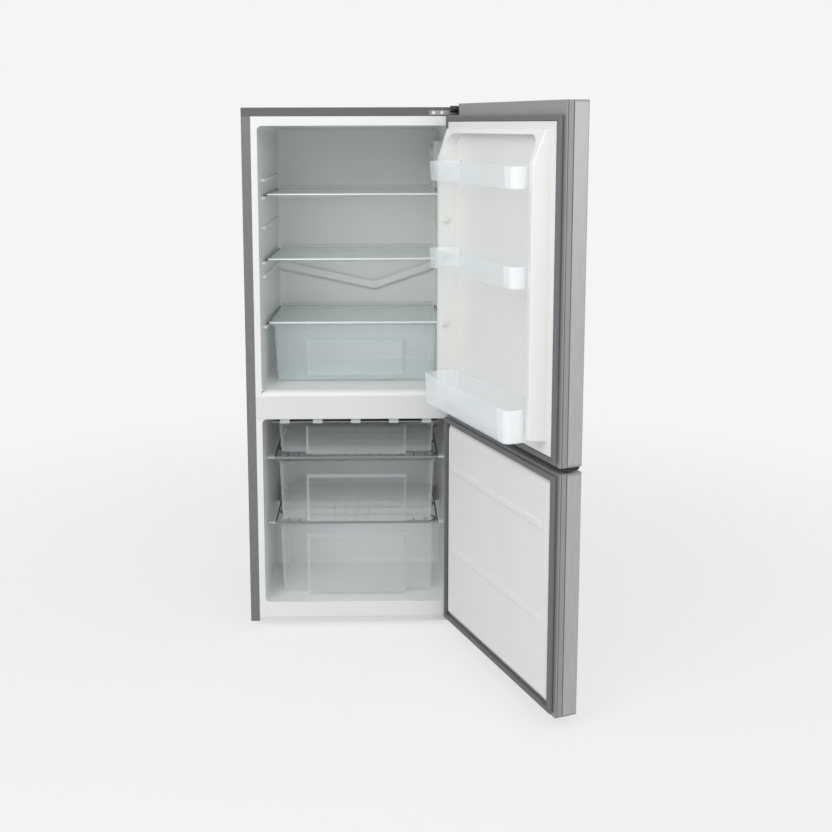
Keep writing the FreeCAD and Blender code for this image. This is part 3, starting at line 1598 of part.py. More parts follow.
def freezer_door_liner():
    """A shallow raised panel with two ribs across it."""
    low, high = seal_inside(FREEZER_SEAL)
    face = f"({DOOR_IN} + panel_height)"
    panel = taper_back(
        (f"-{PANEL_HALF}", PANEL_HALF, low, high),
        (
            f"-({PANEL_HALF} - panel_slope)",
            f"{PANEL_HALF} - panel_slope",
            f"{low} + panel_slope",
            f"{high} - panel_slope",
        ),
        (DOOR_IN, face),
    )
    hollow = taper_back(
        (
            f"-({PANEL_HALF} - panel_slope)",
            f"{PANEL_HALF} - panel_slope",
            f"{low} + panel_slope",
            f"{high} - panel_slope",
        ),
        (
            f"-({PANEL_HALF} - 2 * panel_slope)",
            f"{PANEL_HALF} - 2 * panel_slope",
            f"{low} + 2 * panel_slope",
            f"{high} - 2 * panel_slope",
        ),
        (DOOR_IN, f"{face} - liner_sheet"),
    )
    ribs = []
    for height in ("panel_rib_high", "panel_rib_low"):
        middle = f"({FREEZER_DOOR[0]} + {height})"
        rib = block(
            ("-panel_rib_half", "panel_rib_half"),
            (f"{face} - liner_sheet / 2", f"{face} + panel_rib_depth"),
            (f"{middle} - panel_rib_height / 2", f"{middle} + panel_rib_height / 2"),
        )
        doc.recompute()
        shape = rib.Shape
        ribs.append(rounded(rib, "panel_rib_round", lambda edge: not at_low(edge, "y", shape)))
    return join(cut(panel, hollow), *ribs), hollow


def freezer_door():
    low, high = FREEZER_DOOR
    rooms = [bush_room(low, f"{low} + bush_depth"), bush_room(f"{high} - bush_depth", high)]
    door_node("freezer_door_skin", door_skin(low, high))
    door_node("freezer_door_frame", cut(door_frame(low, high, FREEZER_SEAL), *rooms))
    main, inner = door_foam(low, high, FREEZER_SEAL)
    liner, hollow = freezer_door_liner()
    door_node("freezer_door_foam", group(cut(main, *rooms), inner, hollow))
    door_node("freezer_door_liner", liner)
    door_node("freezer_door_gasket", gasket(*FREEZER_SEAL))
    upper = end_bush(high, MIDDLE_PLATE[0], -1)
    lower = end_bush(low, LOW_PLATE[1], 1)
    door_node("freezer_door_bushes", group(upper, lower))


fridge_door()
freezer_door()


# Machine compartment
COMPRESSOR_Y = "(cabinet_depth - compressor_from_back)"
GROMMET_TOP = "grommet_top"
CAN_LOW = "can_low"
CAN_TOP = "can_top"
DOME_STEPS = 3


def compressor_can():
    """A round steel can with a welded seam round its waist and a domed top."""
    profile = [
        ("0", "0"),
        ("compressor_radius", "0"),
        ("compressor_radius", "seam_rise"),
        ("compressor_radius + seam_rim", "seam_rise"),
        ("compressor_radius + seam_rim", "seam_rise + seam_thickness"),
        ("compressor_radius", "seam_rise + seam_thickness"),
    ]
    for i in range(DOME_STEPS + 1):
        angle = f"({90 * i / DOME_STEPS} * 1 deg)"
        profile.append(
            (
                f"compressor_radius - compressor_dome * (1 - cos({angle}))",
                f"compressor_height - compressor_dome * (1 - sin({angle}))",
            )
        )
    profile.append(("0", "compressor_height"))
    return turned(profile, ("compressor_across", COMPRESSOR_Y, CAN_LOW))


def compressor():
    """The can on its base plate."""
    can = compressor_can()
    base = block(
        ("compressor_across - compressor_base_half", "compressor_across + compressor_base_half"),
        (f"{COMPRESSOR_Y} - compressor_base_depth", f"{COMPRESSOR_Y} + compressor_base_depth"),
        (GROMMET_TOP, CAN_LOW),
    )
    return join(can, base)


def compressor_grommets():
    """Four rubber feet under the base plate's corners."""
    feet = []
    for along in (-1, 1):
        for deep in (-1, 1):
            x = f"compressor_across + {along} * (compressor_base_half - grommet_radius)"
            y = f"{COMPRESSOR_Y} + {deep} * (compressor_base_depth - grommet_radius)"
            feet.append(rod("z", (x, y), "grommet_radius", PAN_TOP, GROMMET_TOP))
    return group(*feet)


node("compressor", compressor())
node("compressor_grommets", compressor_grommets())

RELAY_X = "(compressor_across - compressor_radius)"


def relay_box():
    """The starter housing, fitted against the can's side."""
    box = block(
        (f"{RELAY_X} - relay_width", f"{RELAY_X} + compressor_radius / 3"),
        (f"{COMPRESSOR_Y} - relay_depth / 2", f"{COMPRESSOR_Y} + relay_depth / 2"),
        (f"{CAN_LOW} + relay_rise", f"{CAN_LOW} + relay_rise + relay_height"),
    )
    return cut(box, compressor_can())


node("relay_box", relay_box())

TRAY_LOW = f"({CAN_TOP} + seat_gap)"


def drip_tray():
    """The tray on the compressor where thaw water dries off."""
    x = ("compressor_across - tray_half", "compressor_across + tray_half")
    y = (f"{COMPRESSOR_Y} - tray_depth / 2", f"{COMPRESSOR_Y} + tray_depth / 2")
    z = (TRAY_LOW, f"{TRAY_LOW} + tray_height")
    outer = block(x, y, z)
    inner = block(
        (f"{x[0]} + tray_wall", f"{x[1]} - tray_wall"),
        (f"{y[0]} + tray_wall", f"{y[1]} - tray_wall"),
        (f"{z[0]} + tray_wall", z[1]),
    )
    return cut(outer, inner)


node("drip_tray", drip_tray())
node("drain_spout", cut(drain_tube("spout_radius"), drain_tube("spout_bore")))

# Condenser: one long tube folded up the back, between two layers of upright wires
CONDENSER_Y = "(cabinet_depth + condenser_gap)"
CONDENSER_TOP = "(condenser_low + condenser_pitch * (condenser_runs - 1))"
TAIL_LEFT = "(-condenser_half + condenser_pitch)"
DRIER_TOP = "(drier_low + drier_length)"
DRIER_Y = "(cabinet_depth - drier_from_back)"


def condenser():
    count = int(number("condenser_runs"))
    corners = [(TAIL_LEFT, CONDENSER_Y, NICHE_TOP), (TAIL_LEFT, CONDENSER_Y, "condenser_low")]
    side = 1
    corners.append(("condenser_half", CONDENSER_Y, "condenser_low"))
    for i in range(1, count):
        height = f"condenser_low + {i} * condenser_pitch"
        corners.append((f"{side} * condenser_half", CONDENSER_Y, height))
        side = -side
        if i < count - 1:
            corners.append((f"{side} * condenser_half", CONDENSER_Y, height))
    corners.append((f"{side} * condenser_half", CONDENSER_Y, CONDENSER_TOP))
    tube = bent_tube(corners, number("condenser_pitch / 2"), number("condenser_tube"))
    wires = []
    steps = int(number("condenser_half / condenser_wire_pitch"))
    for layer in (-1, 1):
        middle = f"({CONDENSER_Y} + {layer} * (condenser_tube + condenser_wire / 2))"
        for i in range(-steps, steps + 1):
            x = f"{i} * condenser_wire_pitch"
            wires.append(
                block(
                    (f"{x} - condenser_wire / 2", f"{x} + condenser_wire / 2"),
                    (f"{middle} - condenser_wire / 2", f"{middle} + condenser_wire / 2"),
                    ("condenser_low - bracket_height", f"{CONDENSER_TOP} + bracket_height"),
                )
            )
    return group(tube, *wires)


node("condenser", condenser())


def condenser_brackets():
    """Four plastic stand-offs that hook the condenser to the back."""
    items = []
    top_run = int(number("condenser_runs")) - 1
    for side in (-1, 1):
        for level in (1, top_run - 1):
            x = f"({side} * (condenser_half - bracket_inset))"
            z = f"(condenser_low + {level} * condenser_pitch)"
            arm = block(
                (f"{x} - bracket_width / 2", f"{x} + bracket_width / 2"),
                ("cabinet_depth", f"{CONDENSER_Y} + condenser_tube"),
                (f"{z} - bracket_height / 2", f"{z} + bracket_height / 2"),
            )
            jaw = block(
                (f"{x} - bracket_width", f"{x} + bracket_width"),
                (f"{CONDENSER_Y} - condenser_tube - seat_gap", f"{CONDENSER_Y} + condenser_tube"),
                (f"{z} - condenser_tube - seat_gap", f"{z} + condenser_tube + seat_gap"),
            )
            items.append(cut(arm, jaw))
    return group(*items)


node("condenser_brackets", condenser_brackets())


def refrigerant_pipes():
    """Four lines: discharge to the condenser, liquid to the drier, capillary and suction."""
    riser_x = "(-condenser_half - riser_gap)"
    discharge_z = "(can_low + discharge_rise)"
    discharge = [
        ("-condenser_half", CONDENSER_Y, CONDENSER_TOP),
        (riser_x, CONDENSER_Y, CONDENSER_TOP),
        (riser_x, CONDENSER_Y, discharge_z),
        (riser_x, COMPRESSOR_Y, discharge_z),
        ("compressor_across - compressor_radius", COMPRESSOR_Y, discharge_z),
    ]
    liquid_z = "(niche_top - liquid_drop)"
    liquid = [
        (TAIL_LEFT, CONDENSER_Y, NICHE_TOP),
        (TAIL_LEFT, CONDENSER_Y, liquid_z),
        (TAIL_LEFT, DRIER_Y, liquid_z),
        (TAIL_LEFT, DRIER_Y, DRIER_TOP),
    ]
    capillary_low = "(drier_low - capillary_drop)"
    capillary_x = f"({TAIL_LEFT} + capillary_reach)"
    capillary = [
        (TAIL_LEFT, DRIER_Y, "drier_low"),
        (TAIL_LEFT, DRIER_Y, capillary_low),
        (capillary_x, DRIER_Y, capillary_low),
        (capillary_x, DRIER_Y, NICHE_TOP),
    ]
    suction_x = "(compressor_across + compressor_radius + suction_gap)"
    suction_z = "(can_low + suction_rise)"
    suction = [
        (suction_x, COMPRESSOR_Y, NICHE_TOP),
        (suction_x, COMPRESSOR_Y, suction_z),
        ("compressor_across + compressor_radius", COMPRESSOR_Y, suction_z),
    ]
    bend = number("pipe_bend")
    lines = [bent_tube(route, bend, number("pipe_radius")) for route in (discharge, liquid, suction)]
    return group(*lines, bent_tube(capillary, bend, number("capillary_radius")))


def filter_drier():
    """A copper cartridge with drawn-in ends."""
    profile = [
        ("0", "0"),
        ("pipe_radius", "0"),
        ("drier_radius", "drier_taper"),
        ("drier_radius", "drier_length - drier_taper"),
        ("pipe_radius", "drier_length"),
        ("0", "drier_length"),
    ]
    return turned(profile, (TAIL_LEFT, DRIER_Y, "drier_low"))


node("refrigerant_pipes", refrigerant_pipes())
node("filter_drier", filter_drier())

# Feet
for side, name in ((-1, "left"), (1, "right")):
    profile = [
        ("0", "0"),
        ("foot_radius", "0"),
        ("foot_radius", "foot_disc"),
        ("foot_neck", "foot_height - seat_gap"),
        ("foot_thread", "foot_height - seat_gap"),
        ("foot_thread", f"{PAN_TOP} - seat_gap"),
        ("0", f"{PAN_TOP} - seat_gap"),
    ]
    node(f"front_foot_{name}", turned(profile, (f"{side} * {FOOT_X}", "foot_front", "0")))
node(
    "rear_feet",
    group(
        *[
            rod("z", (f"{side} * {FOOT_X}", "cabinet_depth - foot_rear"), "foot_radius", "0", "foot_height")
            for side in (-1, 1)
        ]
    ),
)


# Check every object, then write each sub-part
doc.recompute()
for item in doc.Objects:
    if {"Invalid", "Error"} & set(item.State):
        raise RuntimeError(f"{item.Name} ({item.Label}) failed: {item.State}")
for item in NODES:
    if item.Shape.isNull() or not item.Shape.isValid() or not item.Shape.Solids:
        raise RuntimeError(f"{item.Label} has no valid solid")
os.makedirs("parts", exist_ok=True)
for item in NODES:
    item.Shape.exportStep(f"parts/{item.Label}.step")
    box = item.Shape.BoundBox
    print(
        f"{item.Label}: {len(item.Shape.Solids)} solids, {item.Shape.Volume / 1000:.1f} cm3,"
        f" X {box.XMin:.1f}..{box.XMax:.1f} Y {box.YMin:.1f}..{box.YMax:.1f} Z {box.ZMin:.1f}..{box.ZMax:.1f}"
    )
print(f"{len(NODES)} sub-parts written")
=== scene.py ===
# %% [markdown]
# # A fridge freezer, dressed for the camera
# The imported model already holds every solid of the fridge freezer: cabinet, linings, shelves, drawers, doors
# and the machine parts at the back. This lesson gives each of them its real finish, adds the small pieces
# that are too fine for the solids, and photographs the whole in a plain studio. All lengths are metres.

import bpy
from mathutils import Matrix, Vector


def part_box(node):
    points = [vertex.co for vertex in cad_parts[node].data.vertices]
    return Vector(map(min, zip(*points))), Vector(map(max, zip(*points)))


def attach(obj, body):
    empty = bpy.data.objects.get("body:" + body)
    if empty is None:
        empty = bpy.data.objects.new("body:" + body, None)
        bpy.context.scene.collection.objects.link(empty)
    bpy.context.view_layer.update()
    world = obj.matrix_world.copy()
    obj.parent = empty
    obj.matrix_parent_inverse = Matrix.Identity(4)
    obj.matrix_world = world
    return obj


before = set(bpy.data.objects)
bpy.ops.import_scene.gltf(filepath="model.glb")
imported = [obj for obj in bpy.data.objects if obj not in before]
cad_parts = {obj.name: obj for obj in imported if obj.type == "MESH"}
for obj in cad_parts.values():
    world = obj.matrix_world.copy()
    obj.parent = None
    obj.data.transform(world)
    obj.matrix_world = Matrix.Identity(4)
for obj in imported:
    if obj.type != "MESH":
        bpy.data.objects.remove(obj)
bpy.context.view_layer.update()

import math

import bmesh
import bpy
from mathutils import Matrix, Vector

scene = bpy.context.scene

# %% [markdown]
# ## The camera
# The photograph was taken from just under the worktop's height, nearly level, with the picture cropped
# below the lens's middle. A lens shift does that crop, but every other view keeps the shift, so most of it
# is given to a small downward tilt and only the rest is shifted. The focal length was measured in pixels of
# the photograph, and becomes millimetres on a sensor 36 mm wide.

# %% The camera
PICTURE_SIDE = 832
FOCAL_PIXELS = 1145.4
SENSOR_WIDTH = 36
CAMERA_PLACE = (0.0572, -2.8266, 1.2922)
TILT_DOWN, ROLL, TURN = 8.319, 0.136, -0.695  # degrees
camera_data = bpy.data.cameras.new("studio_camera")
camera_data.sensor_width = SENSOR_WIDTH
camera_data.lens = FOCAL_PIXELS / PICTURE_SIDE * SENSOR_WIDTH
camera_data.shift_x = 0.03
camera_data.shift_y = -0.15
camera = bpy.data.objects.new("studio_camera", camera_data)
camera.location = CAMERA_PLACE
camera.rotation_euler = [math.radians(degrees) for degrees in (90 - TILT_DOWN, ROLL, TURN)]
scene.collection.objects.link(camera)
scene.camera = camera
print("lens", round(camera_data.lens, 2), "mm")

# %% [markdown]
# ## Colours and nodes
# Paint charts and pictures give colours as sRGB hex values, and the shaders want linear light. One function
# turns one into the other. A second adds a node with its settings, values and links, which keeps each
# finish below short enough to read. The rest say what a pattern does to a finish: it tints it between two
# close shades, raises it by a real depth, or lets its roughness wander.


# %% Colours and nodes
def linear(hex_colour):
    """The linear colour, with alpha 1, of an sRGB hex value such as #c3c2c0."""
    digits = hex_colour.lstrip("#")
    values = [int(digits[i : i + 2], 16) / 255 for i in (0, 2, 4)]
    return (*[v / 12.92 if v <= 0.04045 else ((v + 0.055) / 1.055) ** 2.4 for v in values], 1.0)


def add_node(tree, kind, settings=None, values=None, links=None):
    """Adds a node, sets its attributes and unlinked inputs, and links other nodes' outputs to it."""
    node = tree.nodes.new(kind)
    for name, value in (settings or {}).items():
        setattr(node, name, value)
    for name, value in (values or {}).items():
        node.inputs[name].default_value = value
    for name, socket in (links or {}).items():
        tree.links.new(socket, node.inputs[name])
    return node


def start_finish(name, **values):
    """An empty finish: its material, node tree, main shader and the place on the piece, in metres."""
    material = bpy.data.materials.new(name)
    material.use_nodes = True
    tree = material.node_tree
    shader = tree.nodes["Principled BSDF"]
    for socket, value in values.items():
        shader.inputs[socket.replace("_", " ")].default_value = value
    place = add_node(tree, "ShaderNodeTexCoord").outputs["Object"]
    print("finish:", name)
    return material, tree, shader, place


def repeats(millimetres):
    """The texture scale, in repeats for each metre, of a pattern of that real size."""
    return 1000.0 / millimetres


def tint(tree, shader, amount, dark, pale):
    """Colours the shader between two close shades, by a pattern's amount from 0 to 1."""
    shades = add_node(
        tree,
        "ShaderNodeMix",
        {"data_type": "RGBA"},
        {6: linear(dark), 7: linear(pale)},
        {0: amount},
    )
    tree.links.new(shades.outputs[2], shader.inputs["Base Color"])


BUMP_STRENGTH = 0.6


def relief(tree, shader, height, depth):
    """Raises a pattern from the surface by a real depth in metres."""
    bump = add_node(
        tree,
        "ShaderNodeBump",
        None,
        {"Strength": BUMP_STRENGTH, "Distance": depth},
        {"Height": height},
    )
    tree.links.new(bump.outputs["Normal"], shader.inputs["Normal"])


def wear(tree, shader, pattern, low, high):
    """Lets the roughness wander between two values with a pattern."""
    spread = add_node(
        tree, "ShaderNodeMapRange", None, {"To Min": low, "To Max": high}, {"Value": pattern}
    )
    tree.links.new(spread.outputs["Result"], shader.inputs["Roughness"])


# %% [markdown]
# ## Silver coil-coated steel
# The side panels and door skins are steel sheet that was painted as a coil, before it was bent. The doors
# have the lighter silver and the cabinet a plainer grey. The paint holds fine aluminium flakes under a thin
# clear film, so it is partly metallic, satin, and its brightness wanders a little from place to place.
# Flakes are about 0.1 mm, too fine for the render, so they are drawn at 0.8 mm, and slow roller marks, 6 mm
# wide and 40 mm long, run up the sheet.

# %% Silver coil-coated steel
FLAKE_MM = 0.8
FLAKE_DEPTH = 0.00002
FLAKE_SHARE = 0.35
MARK_WIDE_MM, MARK_LONG_MM = 6, 40


def coil_coated(name, dark, pale, metal):
    """Satin flake paint on sheet steel, with the long marks of the roller."""
    material, tree, shader, place = start_finish(name, Metallic=metal, Roughness=0.38, IOR=1.5)
    flakes = add_node(
        tree, "ShaderNodeTexVoronoi", None, {"Scale": repeats(FLAKE_MM)}, {"Vector": place}
    ).outputs["Distance"]
    stretched = add_node(
        tree,
        "ShaderNodeMapping",
        None,
        {"Scale": (repeats(MARK_WIDE_MM), repeats(MARK_WIDE_MM), repeats(MARK_LONG_MM))},
        {"Vector": place},
    ).outputs["Vector"]
    rolled = add_node(
        tree, "ShaderNodeTexNoise", None, {"Scale": 1.0, "Detail": 3.0}, {"Vector": stretched}
    ).outputs["Fac"]
    blend = add_node(
        tree, "ShaderNodeMix", {"data_type": "FLOAT"}, {0: FLAKE_SHARE}, {2: rolled, 3: flakes}
    ).outputs[0]
    tint(tree, shader, blend, dark, pale)
    wear(tree, shader, rolled, 0.34, 0.44)
    relief(tree, shader, flakes, FLAKE_DEPTH)
    return material


silver_steel = coil_coated("silver_coil_coated_steel", "#a0a09f", "#bcbcbb", 0.4)
cabinet_steel = coil_coated("grey_coil_coated_steel", "#6f6f6f", "#828281", 0.3)

# %% [markdown]
# ## Grained mouldings and paint
# The worktop and the doors' edge frames are injection-moulded ABS. The mould is spark-eroded, which leaves a
# fine even grain of about 0.5 mm and a satin face without flow lines. It is drawn at 1 mm, so that it shows.
# The same satin grain in other shades suits the black polypropylene of feet, bushes and brackets, the white
# ABS of the control housing and its dial, the polystyrene of the freezer's clips and, coarser, the orange
# peel of the powder paint on the base and on the two lower hinges. One slow cloud, 90 mm across, varies
# shade and gloss together.

# %% Grained mouldings and paint
CLOUD_MM = 90
GRAIN_DEPTH = 0.00006


def grained(name, dark, pale, roughness, grain_mm=1.0):
    """A satin face with a fine even grain, in one shade."""
    material, tree, shader, place = start_finish(name, Roughness=roughness, IOR=1.53)
    grain = add_node(
        tree, "ShaderNodeTexNoise", None, {"Scale": repeats(grain_mm), "Detail": 2.0}, {"Vector": place}
    ).outputs["Fac"]
    cloud = add_node(
        tree, "ShaderNodeTexNoise", None, {"Scale": repeats(CLOUD_MM), "Detail": 2.0}, {"Vector": place}
    ).outputs["Fac"]
    tint(tree, shader, cloud, dark, pale)
    wear(tree, shader, cloud, roughness - 0.04, roughness + 0.05)
    relief(tree, shader, grain, GRAIN_DEPTH)
    return material


worktop_abs = grained("grey_grained_worktop", "#585857", "#60605f", 0.5)
frame_abs = grained("grey_moulded_door_edge", "#8a8b8c", "#959697", 0.42)
black_pp = grained("black_moulded_polypropylene", "#1a1a1b", "#232324", 0.48)
white_abs = grained("white_moulded_abs", "#e9eae8", "#f0f1ef", 0.34, grain_mm=0.8)
clip_ps = grained("grey_white_clip_polystyrene", "#c3c7c6", "#ced2d1", 0.34, grain_mm=0.8)
pale_paint = grained("pale_powder_painted_steel", "#dcdddc", "#e6e7e6", 0.5, grain_mm=1.5)

# %% [markdown]
# ## White vacuum-formed polystyrene
# The linings of the cabinet and doors are one sheet of high-impact polystyrene each, heated and sucked over
# a mould. The stretched skin is glossy with a slow waviness, about 18 mm from crest to crest, and its shade
# wanders a little over 160 mm, as its thickness does. The doors' linings are a touch creamier than the
# cabinet's, and the plate between the compartments is a plainer grey-white.

# %% White vacuum-formed polystyrene
WAVE_MM = 18
WAVE_DEPTH = 0.00012
THICKNESS_MM = 160


def formed_polystyrene(name, dark, pale):
    """Glossy white sheet with the slow waves that vacuum forming leaves."""
    material, tree, shader, place = start_finish(name, Roughness=0.3, IOR=1.57)
    waves = add_node(
        tree, "ShaderNodeTexNoise", None, {"Scale": repeats(WAVE_MM), "Detail": 1.0}, {"Vector": place}
    ).outputs["Fac"]
    cloud = add_node(
        tree, "ShaderNodeTexNoise", None, {"Scale": repeats(THICKNESS_MM), "Detail": 2.0}, {"Vector": place}
    ).outputs["Fac"]
    tint(tree, shader, cloud, dark, pale)
    wear(tree, shader, cloud, 0.26, 0.36)
    relief(tree, shader, waves, WAVE_DEPTH)
    return material


white_lining = formed_polystyrene("white_formed_polystyrene", "#e6e8e5", "#eceeec")
door_lining = formed_polystyrene("white_door_polystyrene", "#e6e6e2", "#ecece9")
plate_ps = formed_polystyrene("grey_white_plate_polystyrene", "#dbdddb", "#e2e4e2")

# %% [markdown]
# ## Clear moulded polystyrene
# Drawers and door racks are moulded from clear general-purpose polystyrene with a cold bluish cast, and the
# crisper drawer is a little denser than the freezer's. The lamp's cover is frosted polycarbonate. A thin
# wall lets nearly all light through, straight on, and looks dense towards its edges, where one looks along
# the wall. Real refraction in two millimetres of wall only adds noise, so the wall is see-through by its
# alpha, which grows with the facing angle. The mould leaves the faces that look up, the floors and rims,
# with a fine scatter, so these hide more, by the piece's own normal. Clear plastic lets nine tenths of a
# lamp's light past whatever the angle, so for shadows its cover is cut to a fifth. A piece whose edges hide
# more, in a colour of their own, hands in a function that says where these edges are.

# %% Clear moulded polystyrene
POLYSTYRENE_IOR = 1.59
POLYCARBONATE_IOR = 1.58
EDGE_ON_BLEND = 0.4
LOOKS_UP_FROM, LOOKS_UP_FULLY = 0.7, 0.95
SHADOW_SHARE = 0.2
FILM_MM = 35
FILM_DEPTH = 0.00002


def see_through(name, shades, cover, level, roughness, ior, edge=None):
    """A thin clear wall: cover is what it hides square on and edge on, level what a flat face hides.

    Its two shades follow a slow cloud, or with an edge function they are those of the face and the edge.
    """
    material, tree, shader, place = start_finish(name, Roughness=roughness, IOR=ior)
    facing = add_node(tree, "ShaderNodeLayerWeight", None, {"Blend": EDGE_ON_BLEND}).outputs["Facing"]
    hides = add_node(
        tree, "ShaderNodeMapRange", None, {"To Min": cover[0], "To Max": cover[1]}, {"Value": facing}
    ).outputs["Result"]
    normal = add_node(tree, "ShaderNodeTexCoord").outputs["Normal"]
    upward = add_node(tree, "ShaderNodeSeparateXYZ", None, None, {"Vector": normal}).outputs["Z"]
    flat = add_node(
        tree,
        "ShaderNodeMapRange",
        {"interpolation_type": "SMOOTHSTEP"},
        {"From Min": LOOKS_UP_FROM, "From Max": LOOKS_UP_FULLY, "To Min": 0.0, "To Max": level},
        {"Value": upward},
    ).outputs["Result"]
    both = add_node(
        tree, "ShaderNodeMath", {"operation": "MAXIMUM"}, None, {0: hides, 1: flat}
    ).outputs["Value"]
    if edge is not None:
        both = edge(tree, place, both)
    shade = add_node(tree, "ShaderNodeLightPath").outputs["Is Shadow Ray"]
    lets = add_node(
        tree, "ShaderNodeMapRange", None, {"To Min": 1.0, "To Max": SHADOW_SHARE}, {"Value": shade}
    ).outputs["Result"]
    cover_now = add_node(tree, "ShaderNodeMath", {"operation": "MULTIPLY"}, None, {0: both, 1: lets})
    tree.links.new(cover_now.outputs["Value"], shader.inputs["Alpha"])
    cloud = add_node(
        tree, "ShaderNodeTexNoise", None, {"Scale": repeats(FILM_MM), "Detail": 2.0}, {"Vector": place}
    ).outputs["Fac"]
    where = cloud if edge is None else edge(tree, place, None)
    tint(tree, shader, where, *shades)
    wear(tree, shader, cloud, roughness - 0.02, roughness + 0.05)
    relief(tree, shader, cloud, FILM_DEPTH)
    return material


drawer_plastic = see_through(
    "clear_drawer_polystyrene",
    ("#edf3f5", "#f8fbfc"),
    cover=(0.045, 0.6),
    level=0.42,
    roughness=0.1,
    ior=POLYSTYRENE_IOR,
)
crisper_plastic = see_through(
    "clear_crisper_polystyrene",
    ("#dfeaec", "#eef6f7"),
    cover=(0.2, 0.66),
    level=0.5,
    roughness=0.12,
    ior=POLYSTYRENE_IOR,
)
lamp_plastic = see_through(
    "frosted_lamp_polycarbonate",
    ("#e8ebe8", "#f2f4f1"),
    cover=(0.7, 0.9),
    level=0.8,
    roughness=0.35,
    ior=POLYCARBONATE_IOR,
)

# %% [markdown]
# ## Thick rack ends
# The lugs that hang a door rack on its lining are moulded into its ends, so the ends are thicker than the
# front and look nearly white. The share of the way along the rack tells where they are. Its box stands
# slanted with the open door, and the far and near tenth of the box's depth hold the ends. The bottle rack
# at the foot is a heavier moulding, so its walls hide a little more. An edge function is asked twice: by
# itself it mixes the shades, and with a cover it makes the wall hide more where the edges are.

# %% Thick rack ends
NEAR_END_SHARES = (0.1, 0.07)
FAR_END_SHARES = (0.93, 0.96)
END_COVER = 0.62


def with_cover(tree, where, dense, cover):
    """A pattern from 0 to 1 by itself, or the larger of its dense share and a cover."""
    if cover is None:
        return where
    hides = add_node(
        tree, "ShaderNodeMath", {"operation": "MULTIPLY"}, {1: dense}, {0: where}
    ).outputs["Value"]
    return add_node(
        tree, "ShaderNodeMath", {"operation": "MAXIMUM"}, None, {0: hides, 1: cover}
    ).outputs["Value"]


def thick_ends(tree, place, cover):
    """1 at the two ends of a door rack and 0 between them, or that with a cover."""
    share = add_node(tree, "ShaderNodeTexCoord").outputs["Generated"]
    along = add_node(tree, "ShaderNodeSeparateXYZ", None, None, {"Vector": share}).outputs["Y"]
    near, far = (
        add_node(
            tree, "ShaderNodeMapRange", None, {"From Min": start, "From Max": full}, {"Value": along}
        ).outputs["Result"]
        for start, full in (NEAR_END_SHARES, FAR_END_SHARES)
    )
    ends = add_node(tree, "ShaderNodeMath", {"operation": "MAXIMUM"}, None, {0: near, 1: far})
    return with_cover(tree, ends.outputs["Value"], END_COVER, cover)


rack_plastic = see_through(
    "clear_rack_polystyrene",
    ("#ebf1f3", "#fafdfe"),
    cover=(0.03, 0.46),
    level=0.34,
    roughness=0.12,
    ior=POLYSTYRENE_IOR,
    edge=thick_ends,
)
bottle_plastic = see_through(
    "clear_bottle_rack_polystyrene",
    ("#f2f7f9", "#fafdfe"),
    cover=(0.1, 0.62),
    level=0.4,
    roughness=0.12,
    ior=POLYSTYRENE_IOR,
    edge=thick_ends,
)

# %% [markdown]
# ## Toughened shelf glass
# Soda-lime glass of 4 mm is nearly clear through its face and sea-green along it, from the iron in it. The
# long way through the pane shows at its ground side edges, so within the last 4 mm of the pane's width it
# turns dark green and hides what is behind. The pane is narrower at the back, as the cavity is, so the band
# follows the slant of its sides, which is measured on the pane.

# %% Toughened shelf glass
GLASS_IOR = 1.52
GROUND_EDGE = 0.004
EDGE_BLEND = 0.001
EDGE_COVER = 0.85
CORNER_ZONE = 0.02
pane_low, pane_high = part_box("top_shelf_glass")
pane_points = [v.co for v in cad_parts["top_shelf_glass"].data.vertices]
front_half = max(p.x for p in pane_points if p.y < pane_low.y + CORNER_ZONE)
back_half = max(p.x for p in pane_points if p.y > pane_high.y - CORNER_ZONE)
slant = (front_half - back_half) / (pane_high.y - pane_low.y)
print("the pane is", round(2 * front_half, 4), "wide in front and", round(2 * back_half, 4), "behind")


def ground_edge(tree, place, cover):
    """1 within the ground edge of a pane and 0 inside it, or that with a cover."""
    parts = add_node(tree, "ShaderNodeSeparateXYZ", None, None, {"Vector": place}).outputs
    size = add_node(tree, "ShaderNodeMath", {"operation": "ABSOLUTE"}, None, {0: parts["X"]})
    level = add_node(
        tree,
        "ShaderNodeMath",
        {"operation": "MULTIPLY_ADD"},
        {1: slant},
        {0: parts["Y"], 2: size.outputs["Value"]},
    )
    start = front_half + slant * pane_low.y - GROUND_EDGE
    band = add_node(
        tree,
        "ShaderNodeMapRange",
        None,
        {"From Min": start - EDGE_BLEND, "From Max": start},
        {"Value": level.outputs["Value"]},
    ).outputs["Result"]
    return with_cover(tree, band, EDGE_COVER, cover)


shelf_glass = see_through(
    "toughened_shelf_glass",
    ("#ccdcd8", "#4d5d58"),
    cover=(0.06, 0.4),
    level=0.1,
    roughness=0.04,
    ior=GLASS_IOR,
    edge=ground_edge,
)

# %% [markdown]
# ## Pearl shelf trims
# The trims are clear plastic strips with a pearl-white cap along the top, which is the bright line one sees
# from the front. The cap is the upper part of the strip's height, and the rest is clear. The rear strips
# stand in the shade of the wall, so the cap is left off them as painted shade and given only to the front
# ones, by place.

# %% Pearl shelf trims
TRIM_IOR = 1.53
CAP_FROM_SHARE, CAP_FULL_SHARE = 0.32, 0.42
# Where the cap ends towards the back: the rear trims are left without it, as painted shade.
FRONT_FULL_SHARE, FRONT_END_SHARE = 0.3, 0.7
CAP_COVER = 1.0


